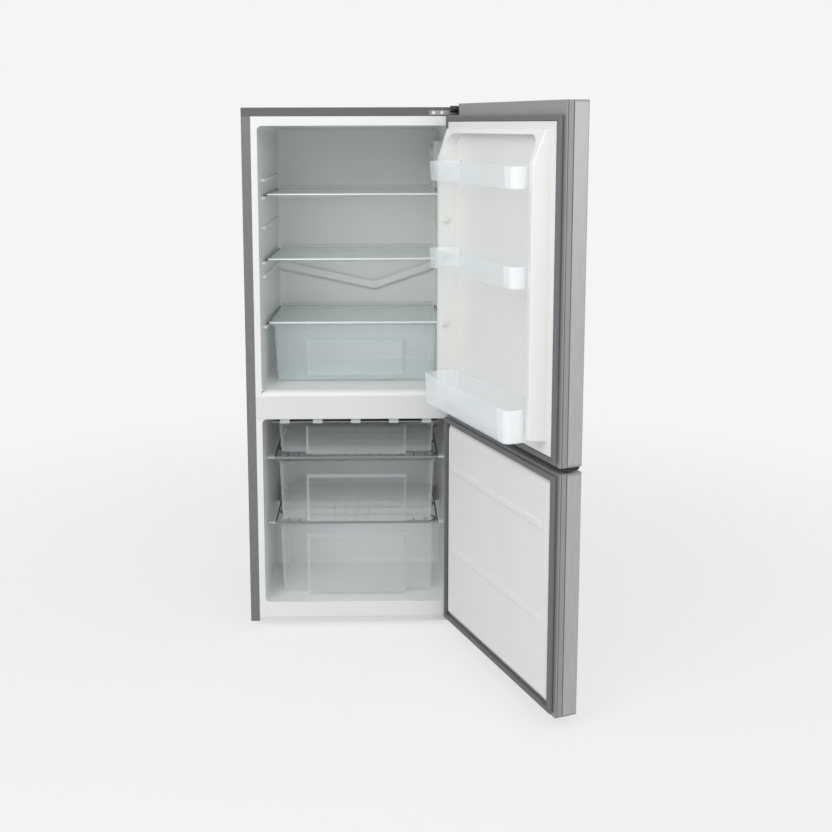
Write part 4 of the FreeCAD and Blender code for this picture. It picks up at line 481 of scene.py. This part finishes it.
def pearl_cap_and_painted_rear_shade(tree, place, cover):
    """1 on a front trim's cap, 0 below it and on the rear trims, as painted shade; or that with a cover."""
    share = add_node(tree, "ShaderNodeTexCoord").outputs["Generated"]
    parts = add_node(tree, "ShaderNodeSeparateXYZ", None, None, {"Vector": share}).outputs
    top = add_node(
        tree,
        "ShaderNodeMapRange",
        None,
        {"From Min": CAP_FROM_SHARE, "From Max": CAP_FULL_SHARE},
        {"Value": parts["Z"]},
    ).outputs["Result"]
    # Fades the cap out towards the back, which leaves the rear trims darker as painted shade.
    front = add_node(
        tree,
        "ShaderNodeMapRange",
        None,
        {"From Min": FRONT_FULL_SHARE, "From Max": FRONT_END_SHARE, "To Min": 1.0, "To Max": 0.0},
        {"Value": parts["Y"]},
    ).outputs["Result"]
    cap = add_node(tree, "ShaderNodeMath", {"operation": "MULTIPLY"}, None, {0: top, 1: front})
    return with_cover(tree, cap.outputs["Value"], CAP_COVER, cover)


# The rear trims are left without the pearl cap, as painted shade.
trim_with_painted_rear_shade = see_through(
    "pearl_shelf_trim_painted_rear_shade",
    ("#b4c1bd", "#f8fbfb"),
    cover=(0.16, 0.5),
    level=0.3,
    roughness=0.2,
    ior=TRIM_IOR,
    edge=pearl_cap_and_painted_rear_shade,
)

# %% [markdown]
# ## Seals and machine parts
# The gaskets are extruded soft PVC, matt and slightly uneven at about 2 mm, as the die leaves them. The
# grommets are moulded rubber with a dusty bloom, and so is the black strip under the fridge door, which is
# painted shade. The compressor's can and the condenser are stoved black enamel with a slight orange peel.
# Tubes are drawn copper with brown tarnish, and the evaporators are drawn aluminium, dulled by oxide. The
# top hinge is nickel-plated steel, faintly clouded, and the hinges' screws are bright zinc. On each of these
# one fine noise gives the shade, and where asked the gloss and the relief as well, so one function makes
# them all.


# %% Seals and machine parts
def mottled(name, size_mm, detail, shades, gloss=None, depth=None, **values):
    """A finish whose shade, and where asked its roughness and relief, follow one noise."""
    material, tree, shader, place = start_finish(name, **values)
    noise = add_node(
        tree, "ShaderNodeTexNoise", None, {"Scale": repeats(size_mm), "Detail": detail}, {"Vector": place}
    ).outputs["Fac"]
    tint(tree, shader, noise, *shades)
    if gloss is not None:
        wear(tree, shader, noise, *gloss)
    if depth is not None:
        relief(tree, shader, noise, depth)
    return material


gasket_pvc = mottled(
    "extruded_grey_gasket", 2.2, 3.0, ("#626264", "#707072"), depth=0.0001, Roughness=0.6, IOR=1.54
)
rubber = mottled(
    "moulded_black_rubber", 3, 3.0, ("#19191a", "#2b2b2a"), depth=0.0001, Roughness=0.7, IOR=1.52
)
black_enamel = mottled(
    "stoved_black_enamel",
    2.5,
    2.0,
    ("#141415", "#202022"),
    gloss=(0.24, 0.4),
    depth=0.0001,
    Roughness=0.3,
    IOR=1.5,
)
hinge_steel = mottled(
    "nickel_plated_steel",
    2.5,
    3.0,
    ("#8d8e8e", "#a8a9a8"),
    gloss=(0.24, 0.38),
    Metallic=1.0,
    Roughness=0.3,
)
screw_steel = mottled(
    "bright_zinc_screw",
    1.2,
    2.0,
    ("#d4d8da", "#eceff0"),
    gloss=(0.28, 0.42),
    Metallic=0.8,
    Roughness=0.34,
)
copper = mottled(
    "drawn_copper_tube",
    14,
    4.0,
    ("#8f5a41", "#c98563"),
    gloss=(0.28, 0.5),
    Metallic=1.0,
    Roughness=0.35,
)
aluminium = mottled(
    "oxidised_drawn_aluminium",
    6,
    3.0,
    ("#85888a", "#a2a5a7"),
    gloss=(0.38, 0.55),
    Metallic=0.9,
    Roughness=0.45,
)

# %% [markdown]
# ## Zinc-coated steel
# The back panel and the lining of the compressor bay are hot-dip zinc-coated sheet. The zinc freezes into
# crystals that catch the light each in their own way, which shows as patches about 9 mm across. The cells
# of a Voronoi pattern have straight sides and one colour each, as the crystals have, so their brightness
# gives the shade and the gloss.

# %% Zinc-coated steel
CRYSTAL_MM = 9
zinc_steel, tree, shader, place = start_finish("zinc_coated_steel", Metallic=1.0, Roughness=0.42)
crystals = add_node(
    tree, "ShaderNodeTexVoronoi", None, {"Scale": repeats(CRYSTAL_MM)}, {"Vector": place}
).outputs["Color"]
patch = add_node(tree, "ShaderNodeRGBToBW", None, None, {"Color": crystals}).outputs["Val"]
tint(tree, shader, patch, "#a9acae", "#c2c5c6")
wear(tree, shader, patch, 0.34, 0.5)

# %% [markdown]
# ## Rigid foam
# The walls are filled with poured polyurethane. It is out of sight, but it is there, so it has its own
# finish: pale yellow and matt. Its cells are too fine to show, so they are drawn 1.5 mm across.

# %% Rigid foam
CELL_MM = 1.5
foam, tree, shader, place = start_finish("poured_polyurethane_foam", Roughness=0.9, IOR=1.45)
cells = add_node(
    tree, "ShaderNodeTexVoronoi", None, {"Scale": repeats(CELL_MM)}, {"Vector": place}
).outputs["Distance"]
tint(tree, shader, cells, "#d9c27f", "#efe0a8")
relief(tree, shader, cells, 0.0004)

# %% [markdown]
# ## Dressing the solids
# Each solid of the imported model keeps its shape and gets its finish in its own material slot. The table
# lists every finish with the solids that it covers, so that one sees at a glance what is made of what.

# %% Dressing the solids
FINISHES = {
    silver_steel: ("fridge_door_skin", "freezer_door_skin"),
    cabinet_steel: ("side_panel_left", "side_panel_right"),
    worktop_abs: ("worktop",),
    frame_abs: ("fridge_door_frame", "freezer_door_frame"),
    white_lining: ("fridge_liner", "freezer_liner", "bottom_rail"),
    plate_ps: ("mullion_plate",),
    door_lining: ("fridge_door_liner", "freezer_door_liner"),
    white_abs: ("control_housing", "thermostat_knob"),
    clip_ps: ("evaporator_clips",),
    foam: ("insulation_sides", "insulation_core", "fridge_door_foam", "freezer_door_foam"),
    shelf_glass: ("top_shelf_glass", "middle_shelf_glass", "crisper_cover_glass"),
    trim_with_painted_rear_shade: ("top_shelf_trims", "middle_shelf_trims", "crisper_cover_trims"),
    crisper_plastic: ("crisper_drawer",),
    drawer_plastic: ("freezer_drawer_top", "freezer_drawer_middle", "freezer_drawer_bottom"),
    rack_plastic: ("door_rack_top", "door_rack_middle"),
    bottle_plastic: ("bottle_rack",),
    lamp_plastic: ("lamp_cover",),
    gasket_pvc: ("fridge_door_gasket", "freezer_door_gasket"),
    rubber: ("compressor_grommets",),
    zinc_steel: ("back_panel",),
    pale_paint: ("base_pan", "middle_hinge", "bottom_hinge"),
    hinge_steel: ("top_hinge",),
    screw_steel: ("hinge_screws",),
    black_pp: (
        "fridge_door_bushes",
        "freezer_door_bushes",
        "relay_box",
        "drip_tray",
        "drain_spout",
        "condenser_brackets",
        "front_foot_left",
        "front_foot_right",
        "rear_feet",
    ),
    black_enamel: ("condenser", "compressor"),
    copper: ("refrigerant_pipes", "filter_drier"),
    aluminium: ("evaporator_ceiling", "evaporator_shelf_upper", "evaporator_shelf_lower"),
}
dressed = 0
for finish, names in FINISHES.items():
    for name in names:
        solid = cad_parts.get(name)
        if solid is None:
            print("no solid named", name)
            continue
        if not solid.material_slots:
            solid.data.materials.append(finish)
        for slot in solid.material_slots:
            slot.material = finish
        dressed += 1
print(dressed, "of", len(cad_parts), "solids dressed")

# %% [markdown]
# ## The compressor bay's lining
# A foamed cabinet never shows its foam: over the compressor lies one folded sheet of zinc-coated steel,
# which closes the foam from below and behind, and turns out into a lip on the base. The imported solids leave
# it out, because it is thinner than a millimetre. It is made as its folded outline, seen from the side,
# with two round bends, and drawn out across the bay. Shallow beads are pressed in to stiffen it, which the
# mesh gets by lifting its points along a smooth wave across the width. One function turns the mesh of a new
# piece into an object, lets it ride on its body and names its material slot. Only the screws, which share
# one mesh, don't go through it.


def new_piece(name, mesh, finish, body, smooth=True):
    """Turns a bmesh into a named object with its finish, riding on a body of the model."""
    data = bpy.data.meshes.new(name)
    bmesh.ops.recalc_face_normals(mesh, faces=mesh.faces)
    mesh.to_mesh(data)
    mesh.free()
    for face in data.polygons:
        face.use_smooth = smooth
    data.materials.append(finish)
    piece = bpy.data.objects.new(name, data)
    scene.collection.objects.link(piece)
    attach(piece, body)
    return piece


# %% The bay lining's outline
SHEET = 0.0006
OFF_FOAM = 0.0002
OFF_SIDES = 0.0022
BAY_FRONT = 0.325
BAY_TOP = 0.190
LIP = 0.014
BEND = 0.004
BEND_STEPS = 6
pan_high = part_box("base_pan")[1]
rear_low, rear_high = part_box("back_panel")
side_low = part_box("side_panel_left")[0]
bay_half = -side_low.x - OFF_SIDES
bay_floor = pan_high.z + OFF_FOAM
lip_back = BAY_FRONT + LIP
bay_back = rear_low.y - OFF_FOAM


def folded_line(offset):
    """The sheet's outline from lip to ceiling, moved off the foam by an offset: points (y, z)."""
    wall_y = BAY_FRONT + offset
    roof_z = BAY_TOP - offset
    lip_z = bay_floor + SHEET - (offset - OFF_FOAM)
    turns = [math.pi / 2 * step / BEND_STEPS for step in range(BEND_STEPS + 1)]
    line = [(lip_back, lip_z)]
    for turn in turns:
        line.append((wall_y + BEND * (1 - math.sin(turn)), lip_z + BEND * (1 - math.cos(turn))))
    for turn in turns:
        line.append((wall_y + BEND * (1 - math.cos(turn)), roof_z - BEND * (1 - math.sin(turn))))
    line.append((bay_back, roof_z))
    return line


print("bay lining from", round(bay_floor, 4), "to", BAY_TOP, "and", round(2 * bay_half, 4), "wide")

# %% The bay lining's mesh
ACROSS = 90
BEAD = 0.0012
BEAD_PITCH = 0.09
BEAD_SHARPNESS = 8
PLAIN_SIDES = 0.02
UPPER_BEND = range(BEND_STEPS + 2, 2 * BEND_STEPS + 3)
bay = bmesh.new()
outline = folded_line(OFF_FOAM) + folded_line(OFF_FOAM + SHEET)[::-1]
count = len(outline)
rows = []
for i in range(ACROSS + 1):
    x = -bay_half + 2 * bay_half * i / ACROSS
    bead = BEAD * max(0.0, math.cos(2 * math.pi * x / BEAD_PITCH)) ** BEAD_SHARPNESS
    row = []
    for k, (y, z) in enumerate(outline):
        beaded = min(k, count - 1 - k) in UPPER_BEND and abs(x) < bay_half - PLAIN_SIDES
        row.append(bay.verts.new((x, y + (bead if beaded else 0.0), z)))
    rows.append(row)
for left, right in zip(rows, rows[1:]):
    for k in range(count):
        bay.faces.new((left[k], left[(k + 1) % count], right[(k + 1) % count], right[k]))
for row in (rows[0], rows[-1]):
    for k in range(count // 2 - 1):
        bay.faces.new((row[k], row[k + 1], row[count - 2 - k], row[count - 1 - k]))
bay_lining = new_piece("compressor_bay_lining", bay, zinc_steel, "cabinet")
print("bay lining has", len(bay_lining.data.polygons), "faces")

# %% [markdown]
# ## The painted shade strip under the fridge door
# The gap between the doors looks black, where there is only shade, so a bar of black rubber is put under
# the fridge door as painted shade. It is made for the closed door, as a bar with a rounded lower edge,
# and turned about the hinge with the door, since the model stands with its doors open. It stops short of
# the hinge.

# %% The strip under the fridge door
HINGE_LINE = Vector((0.25825, -0.0365, 0))
DOOR_DEGREES = 111.7
OPEN_TURN = Matrix.Rotation(math.radians(DOOR_DEGREES), 4, "Z")
STRIP_MIDDLE, STRIP_HALF = -0.040, 0.022
STRIP_HEIGHT = 0.010
STRIP_LEFT, STRIP_RIGHT = -0.271, 0.235
PROFILE_STEPS = 8
FULLNESS = 0.5
LENGTHS = 24
door_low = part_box("fridge_door_frame")[0]
strip = bmesh.new()
profile = []
for step in range(PROFILE_STEPS + 1):
    turn = math.pi * step / PROFILE_STEPS
    y = STRIP_MIDDLE - STRIP_HALF * math.cos(turn)
    profile.append((y, -STRIP_HEIGHT * math.sin(turn) ** FULLNESS))
rows = []
for i in range(LENGTHS + 1):
    x = STRIP_LEFT + (STRIP_RIGHT - STRIP_LEFT) * i / LENGTHS
    row = []
    for y, z in profile:
        spot = OPEN_TURN @ (Vector((x, y, 0)) - HINGE_LINE) + HINGE_LINE
        row.append(strip.verts.new((spot.x, spot.y, door_low.z + z)))
    rows.append(row)
for left, right in zip(rows, rows[1:]):
    for k in range(len(profile) - 1):
        strip.faces.new((left[k], left[k + 1], right[k + 1], right[k]))
    strip.faces.new((left[-1], left[0], right[0], right[-1]))
strip.faces.new(rows[0])
strip.faces.new(rows[-1])
# A black bar as painted shade in the gap between the doors.
new_piece("fridge_door_painted_shade_strip", strip, rubber, "fridge_door", smooth=False)
print("the painted shade strip is", round(STRIP_RIGHT - STRIP_LEFT, 3), "long, under", round(door_low.z, 4))

# %% [markdown]
# ## The cover of the top hinge
# A black moulded cover clips over the end of the top hinge, in the notch of the door's corner, and is one
# of the few dark spots in the photograph. It is a hollow box with soft corners, open below. Rings of points
# on a superellipse, a shape between an ellipse and a rectangle, give the inner wall, the outer wall and the
# rounded edge. It is short enough for the notch to swing about it without touching.

# %% The cover of the top hinge
COVER_MIDDLE = (0.252, -0.034)
COVER_HALF = (0.0185, 0.014)
COVER_WALL = 0.0015
COVER_SINK = 0.0056
COVER_HEIGHT = 0.0158
# Each ring's way inside the outline, and its height above the open base
COVER_RINGS = (
    (COVER_WALL, 0.0141),
    (COVER_WALL, 0.0),
    (0.0, 0.0),
    (0.0, 0.0138),
    (0.0006, 0.0151),
    (0.002, COVER_HEIGHT),
)
COVER_AROUND = 56
SQUARENESS = 0.45
hinge_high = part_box("top_hinge")[1]
cover_base = hinge_high.z - COVER_SINK
cover = bmesh.new()


def cover_ring(inset, rise):
    """A ring of the cover: how far inside its outline, and how high above its open base."""
    ring = []
    for k in range(COVER_AROUND):
        turn = 2 * math.pi * k / COVER_AROUND
        reach = [math.copysign(abs(part) ** SQUARENESS, part) for part in (math.cos(turn), math.sin(turn))]
        x, y = (COVER_MIDDLE[i] + (COVER_HALF[i] - inset) * reach[i] for i in range(2))
        ring.append(cover.verts.new((x, y, cover_base + rise)))
    return ring


rows = [cover_ring(inset, rise) for inset, rise in COVER_RINGS]
for lower, upper in zip(rows, rows[1:]):
    for k in range(COVER_AROUND):
        after = (k + 1) % COVER_AROUND
        cover.faces.new((lower[k], lower[after], upper[after], upper[k]))
cover.faces.new(rows[0])
cover.faces.new(rows[-1])
new_piece("top_hinge_cover", cover, black_pp, "cabinet")
print("the hinge cover stands from", round(cover_base, 4), "to", round(cover_base + COVER_HEIGHT, 4))

# %% [markdown]
# ## Screws in the back
# Pan-head screws with a cross recess hold the back panel along both edges. One head is a round grid of
# points, domed, whose middle is pushed in along two crossing arms; all the heads share its mesh data.

# %% A cross-recess screw head
HEAD_AROUND, HEAD_RINGS = 40, 10
HEAD_ROUNDNESS = 4
ARM_WIDE_SHARE, ARM_LONG_SHARE = 0.13, 0.55
ARM_LIFT_SHARE, MIDDLE_LIFT_SHARE = 0.35, 0.3


def screw_head(radius, height):
    """The mesh of one head on the X-Z plane, standing out along +Y."""
    mesh = bmesh.new()
    rows = []
    for i in range(1, HEAD_RINGS + 1):
        row = []
        for k in range(HEAD_AROUND):
            turn = 2 * math.pi * k / HEAD_AROUND
            reach = radius * i / HEAD_RINGS
            x, z = reach * math.cos(turn), reach * math.sin(turn)
            lift = height * (1 - (i / HEAD_RINGS) ** HEAD_ROUNDNESS)
            near, far = sorted((abs(x), abs(z)))
            arm = near < radius * ARM_WIDE_SHARE and far < radius * ARM_LONG_SHARE
            row.append(mesh.verts.new((x, lift * (ARM_LIFT_SHARE if arm else 1.0), z)))
        rows.append(row)
    middle = mesh.verts.new((0, height * MIDDLE_LIFT_SHARE, 0))
    for k in range(HEAD_AROUND):
        mesh.faces.new((middle, rows[0][(k + 1) % HEAD_AROUND], rows[0][k]))
    for inner, outer in zip(rows, rows[1:]):
        for k in range(HEAD_AROUND):
            after = (k + 1) % HEAD_AROUND
            mesh.faces.new((inner[k], inner[after], outer[after], outer[k]))
    data = bpy.data.meshes.new("cross_recess_head")
    mesh.to_mesh(data)
    mesh.free()
    for face in data.polygons:
        face.use_smooth = True
    data.materials.append(hinge_steel)
    return data


# %% The screws along the back
HEAD_RADIUS = 0.0042
HEAD_HEIGHT = 0.0022
SCREWS = 5
EDGE_IN = 0.010
END_IN = 0.03
head_data = screw_head(HEAD_RADIUS, HEAD_HEIGHT)
pitch = (rear_high.z - rear_low.z - 2 * END_IN) / (SCREWS - 1)
heights = [rear_low.z + END_IN + i * pitch for i in range(SCREWS)]
for side in (-1, 1):
    for i, z in enumerate(heights):
        head = bpy.data.objects.new(f"back_screw_{'left' if side < 0 else 'right'}_{i + 1}", head_data)
        head.location = (side * (rear_high.x - EDGE_IN), rear_high.y, z)
        scene.collection.objects.link(head)
        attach(head, "cabinet")
print("screws at heights", [round(z, 3) for z in heights])

# %% [markdown]
# ## The dial's marks
# The thermostat dial has a raised pointer, and the housing has seven raised strokes round it that grow
# longer towards cold, with no lettering. Each is a small rounded bar: a box whose edges are bevelled.

# %% A rounded bar
BEVEL_SHARE = 0.3


def rounded_bar(middle, along, length, width, height, out):
    """Adds a bevelled bar to a new mesh: centre, direction, sizes, and the way it stands out."""
    mesh = bmesh.new()
    bmesh.ops.create_cube(mesh, size=1.0)
    across = out.cross(along)
    for vert in mesh.verts:
        x, y, z = vert.co
        vert.co = middle + along * (x * length) + across * (y * width) + out * (z * height)
    bmesh.ops.bevel(mesh, geom=mesh.edges[:], offset=width * BEVEL_SHARE, segments=2, affect="EDGES")
    return mesh


# %% The dial's pointer
SEATED = 0.0001
POINTER_PLACE_SHARE, POINTER_LENGTH_SHARE = 0.45, 0.7
POINTER_WIDTH, POINTER_HEIGHT = 0.0016, 0.0008
knob_low, knob_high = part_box("thermostat_knob")
dial = (knob_low + knob_high) / 2
outward = Vector((-1, 0, 0))
knob_radius = (knob_high.z - knob_low.z) / 2
pointer = rounded_bar(
    Vector((knob_low.x + SEATED, dial.y, dial.z + knob_radius * POINTER_PLACE_SHARE)),
    Vector((0, 0, 1)),
    knob_radius * POINTER_LENGTH_SHARE,
    POINTER_WIDTH,
    POINTER_HEIGHT,
    outward,
)
new_piece("dial_pointer", pointer, black_pp, "thermostat_knob", smooth=False)
print("dial at", [round(v, 4) for v in dial], "radius", round(knob_radius, 4))

# %% The strokes round the dial
MARKS = 7
FIRST_DEGREES, STEP_DEGREES = -60, 20
SHORTEST, LONGER_BY = 0.0014, 0.0003
MARK_WIDTH, MARK_HEIGHT = 0.0009, 0.0006
OFF_DIAL = 0.0016
housing_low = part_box("control_housing")[0]
for i in range(MARKS):
    turn = math.radians(FIRST_DEGREES + STEP_DEGREES * i)
    ray = Vector((0, math.sin(turn), math.cos(turn)))
    length = SHORTEST + LONGER_BY * i
    middle = dial + ray * (knob_radius + OFF_DIAL + length / 2)
    middle.x = housing_low.x - SEATED
    mark = rounded_bar(middle, ray, length, MARK_WIDTH, MARK_HEIGHT, outward)
    new_piece(f"dial_mark_{i + 1}", mark, black_pp, "cabinet", smooth=False)
print(MARKS, "strokes, the longest", round(length, 4))

# %% [markdown]
# ## The studio
# The photograph has a plain pale ground with only a soft shadow on it. The floor is a round sheet that fades
# out into the background by its distance from the middle, so no edge shows. For the camera most of its
# colour is its own light, so that only a soft share of the shadow is left. The background has the
# photograph's near white for the camera, for mirrors and for clear plastic, and a lower level for the light
# that falls on the object.

# %% The floor's mesh
FLOOR_RADIUS = 2.6
FLOOR_PLACE = (0.1, 0, -0.0005)
FLOOR_RINGS, FLOOR_PARTS = 12, 96
floor_mesh = bmesh.new()
rows = []
for i in range(1, FLOOR_RINGS + 1):
    radius = FLOOR_RADIUS * i / FLOOR_RINGS
    row = []
    for k in range(FLOOR_PARTS):
        turn = 2 * math.pi * k / FLOOR_PARTS
        row.append(floor_mesh.verts.new((radius * math.cos(turn), radius * math.sin(turn), 0)))
    rows.append(row)
floor_mesh.faces.new(rows[0])
for inner, outer in zip(rows, rows[1:]):
    for k in range(FLOOR_PARTS):
        after = (k + 1) % FLOOR_PARTS
        floor_mesh.faces.new((inner[k], outer[k], outer[after], inner[after]))
floor_data = bpy.data.meshes.new("studio_floor")
floor_mesh.to_mesh(floor_data)
floor_mesh.free()
floor = bpy.data.objects.new("studio_floor", floor_data)
floor.location = FLOOR_PLACE
scene.collection.objects.link(floor)
print("the floor is", 2 * FLOOR_RADIUS, "m across")

# %% The floor's finish
GROUND = "#f5f5f5"
OWN_LIGHT_SHARE = 0.72
FADE_START, FADE_END = 0.8, 2.5
floor_finish, tree, shader, place = start_finish("pale_studio_floor", Roughness=0.9)
shader.inputs["Base Color"].default_value = linear("#f0f0f0")
shader.inputs["Specular IOR Level"].default_value = 0.0
rays = add_node(tree, "ShaderNodeLightPath")
seen = add_node(
    tree,
    "ShaderNodeMath",
    {"operation": "MULTIPLY"},
    {1: OWN_LIGHT_SHARE},
    {0: rays.outputs["Is Camera Ray"]},
)
glow = add_node(tree, "ShaderNodeEmission", None, {"Color": linear(GROUND), "Strength": 1.0})
lit = add_node(
    tree,
    "ShaderNodeMixShader",
    None,
    None,
    {0: seen.outputs["Value"], 1: shader.outputs["BSDF"], 2: glow.outputs["Emission"]},
)
distance = add_node(
    tree, "ShaderNodeVectorMath", {"operation": "LENGTH"}, None, {0: place}
).outputs["Value"]
fade = add_node(
    tree,
    "ShaderNodeMapRange",
    {"interpolation_type": "SMOOTHSTEP"},
    {"From Min": FADE_START, "From Max": FADE_END, "To Min": 1.0, "To Max": 0.0},
    {"Value": distance},
)
clear = add_node(tree, "ShaderNodeBsdfTransparent")
edge = add_node(
    tree,
    "ShaderNodeMixShader",
    None,
    None,
    {0: fade.outputs["Result"], 1: clear.outputs["BSDF"], 2: lit.outputs["Shader"]},
)
tree.links.new(edge.outputs["Shader"], tree.nodes["Material Output"].inputs["Surface"])
floor_data.materials.append(floor_finish)

# %% The background
WORLD_LIGHT = 0.66
world = bpy.data.worlds.new("studio_world")
scene.world = world
world.use_nodes = True
tree = world.node_tree
background = tree.nodes["Background"]
background.inputs["Color"].default_value = linear("#f4f6f8")
background.inputs["Strength"].default_value = WORLD_LIGHT
shown = add_node(
    tree, "ShaderNodeBackground", None, {"Color": linear(GROUND), "Strength": 1.0}
)
rays = add_node(tree, "ShaderNodeLightPath")
either = add_node(
    tree,
    "ShaderNodeMath",
    {"operation": "MAXIMUM"},
    None,
    {0: rays.outputs["Is Camera Ray"], 1: rays.outputs["Is Glossy Ray"]},
)
any_ray = add_node(
    tree,
    "ShaderNodeMath",
    {"operation": "MAXIMUM"},
    None,
    {0: either.outputs["Value"], 1: rays.outputs["Is Transmission Ray"]},
)
mixed = add_node(
    tree,
    "ShaderNodeMixShader",
    None,
    None,
    {0: any_ray.outputs["Value"], 1: background.outputs["Background"], 2: shown.outputs["Background"]},
)
tree.links.new(mixed.outputs["Shader"], tree.nodes["World Output"].inputs["Surface"])
print("world light", WORLD_LIGHT)

# %% [markdown]
# ## The lamps
# The photograph looks lit by broad soft boxes. The key stands to the left of the camera, well above it, so
# it reaches into the cavities and onto the linings of the open doors. A weaker one over the camera, higher
# still, evens out the linings and lights the cavities' floors. A faint one on the right, a little above the
# fridge's height, keeps the doors' outer skins from going dark. All face the middle of the fridge.


# %% The lamps
def soft_box(name, place, target, side, watts):
    """Adds a square area lamp that faces a point."""
    data = bpy.data.lights.new(name, "AREA")
    data.size = side
    data.energy = watts
    lamp = bpy.data.objects.new(name, data)
    lamp.location = place
    lamp.rotation_euler = (Vector(target) - Vector(place)).to_track_quat("-Z", "Y").to_euler()
    scene.collection.objects.link(lamp)
    print(name, "of", watts, "W at", place)


soft_box("key_box", (-1.4, -2.45, 2.6), (0.0, 0.1, 0.6), side=1.8, watts=35)
soft_box("front_box", (0.4, -2.7, 3.0), (-0.1, 0.3, 0.7), side=1.8, watts=20)
soft_box("fill_box", (1.9, -1.9, 1.6), (0.2, 0.0, 0.7), side=1.6, watts=8)

# %% [markdown]
# ## Finishing
# The display transform is the plain one, so a colour renders about as it is written. A line of sight may
# cross more than eight clear walls here, a drawer in front of a drawer, so it may pass 32 of them before it
# counts as black.

# %% Finishing
scene.view_settings.view_transform = "Standard"
scene.cycles.transparent_max_bounces = 32
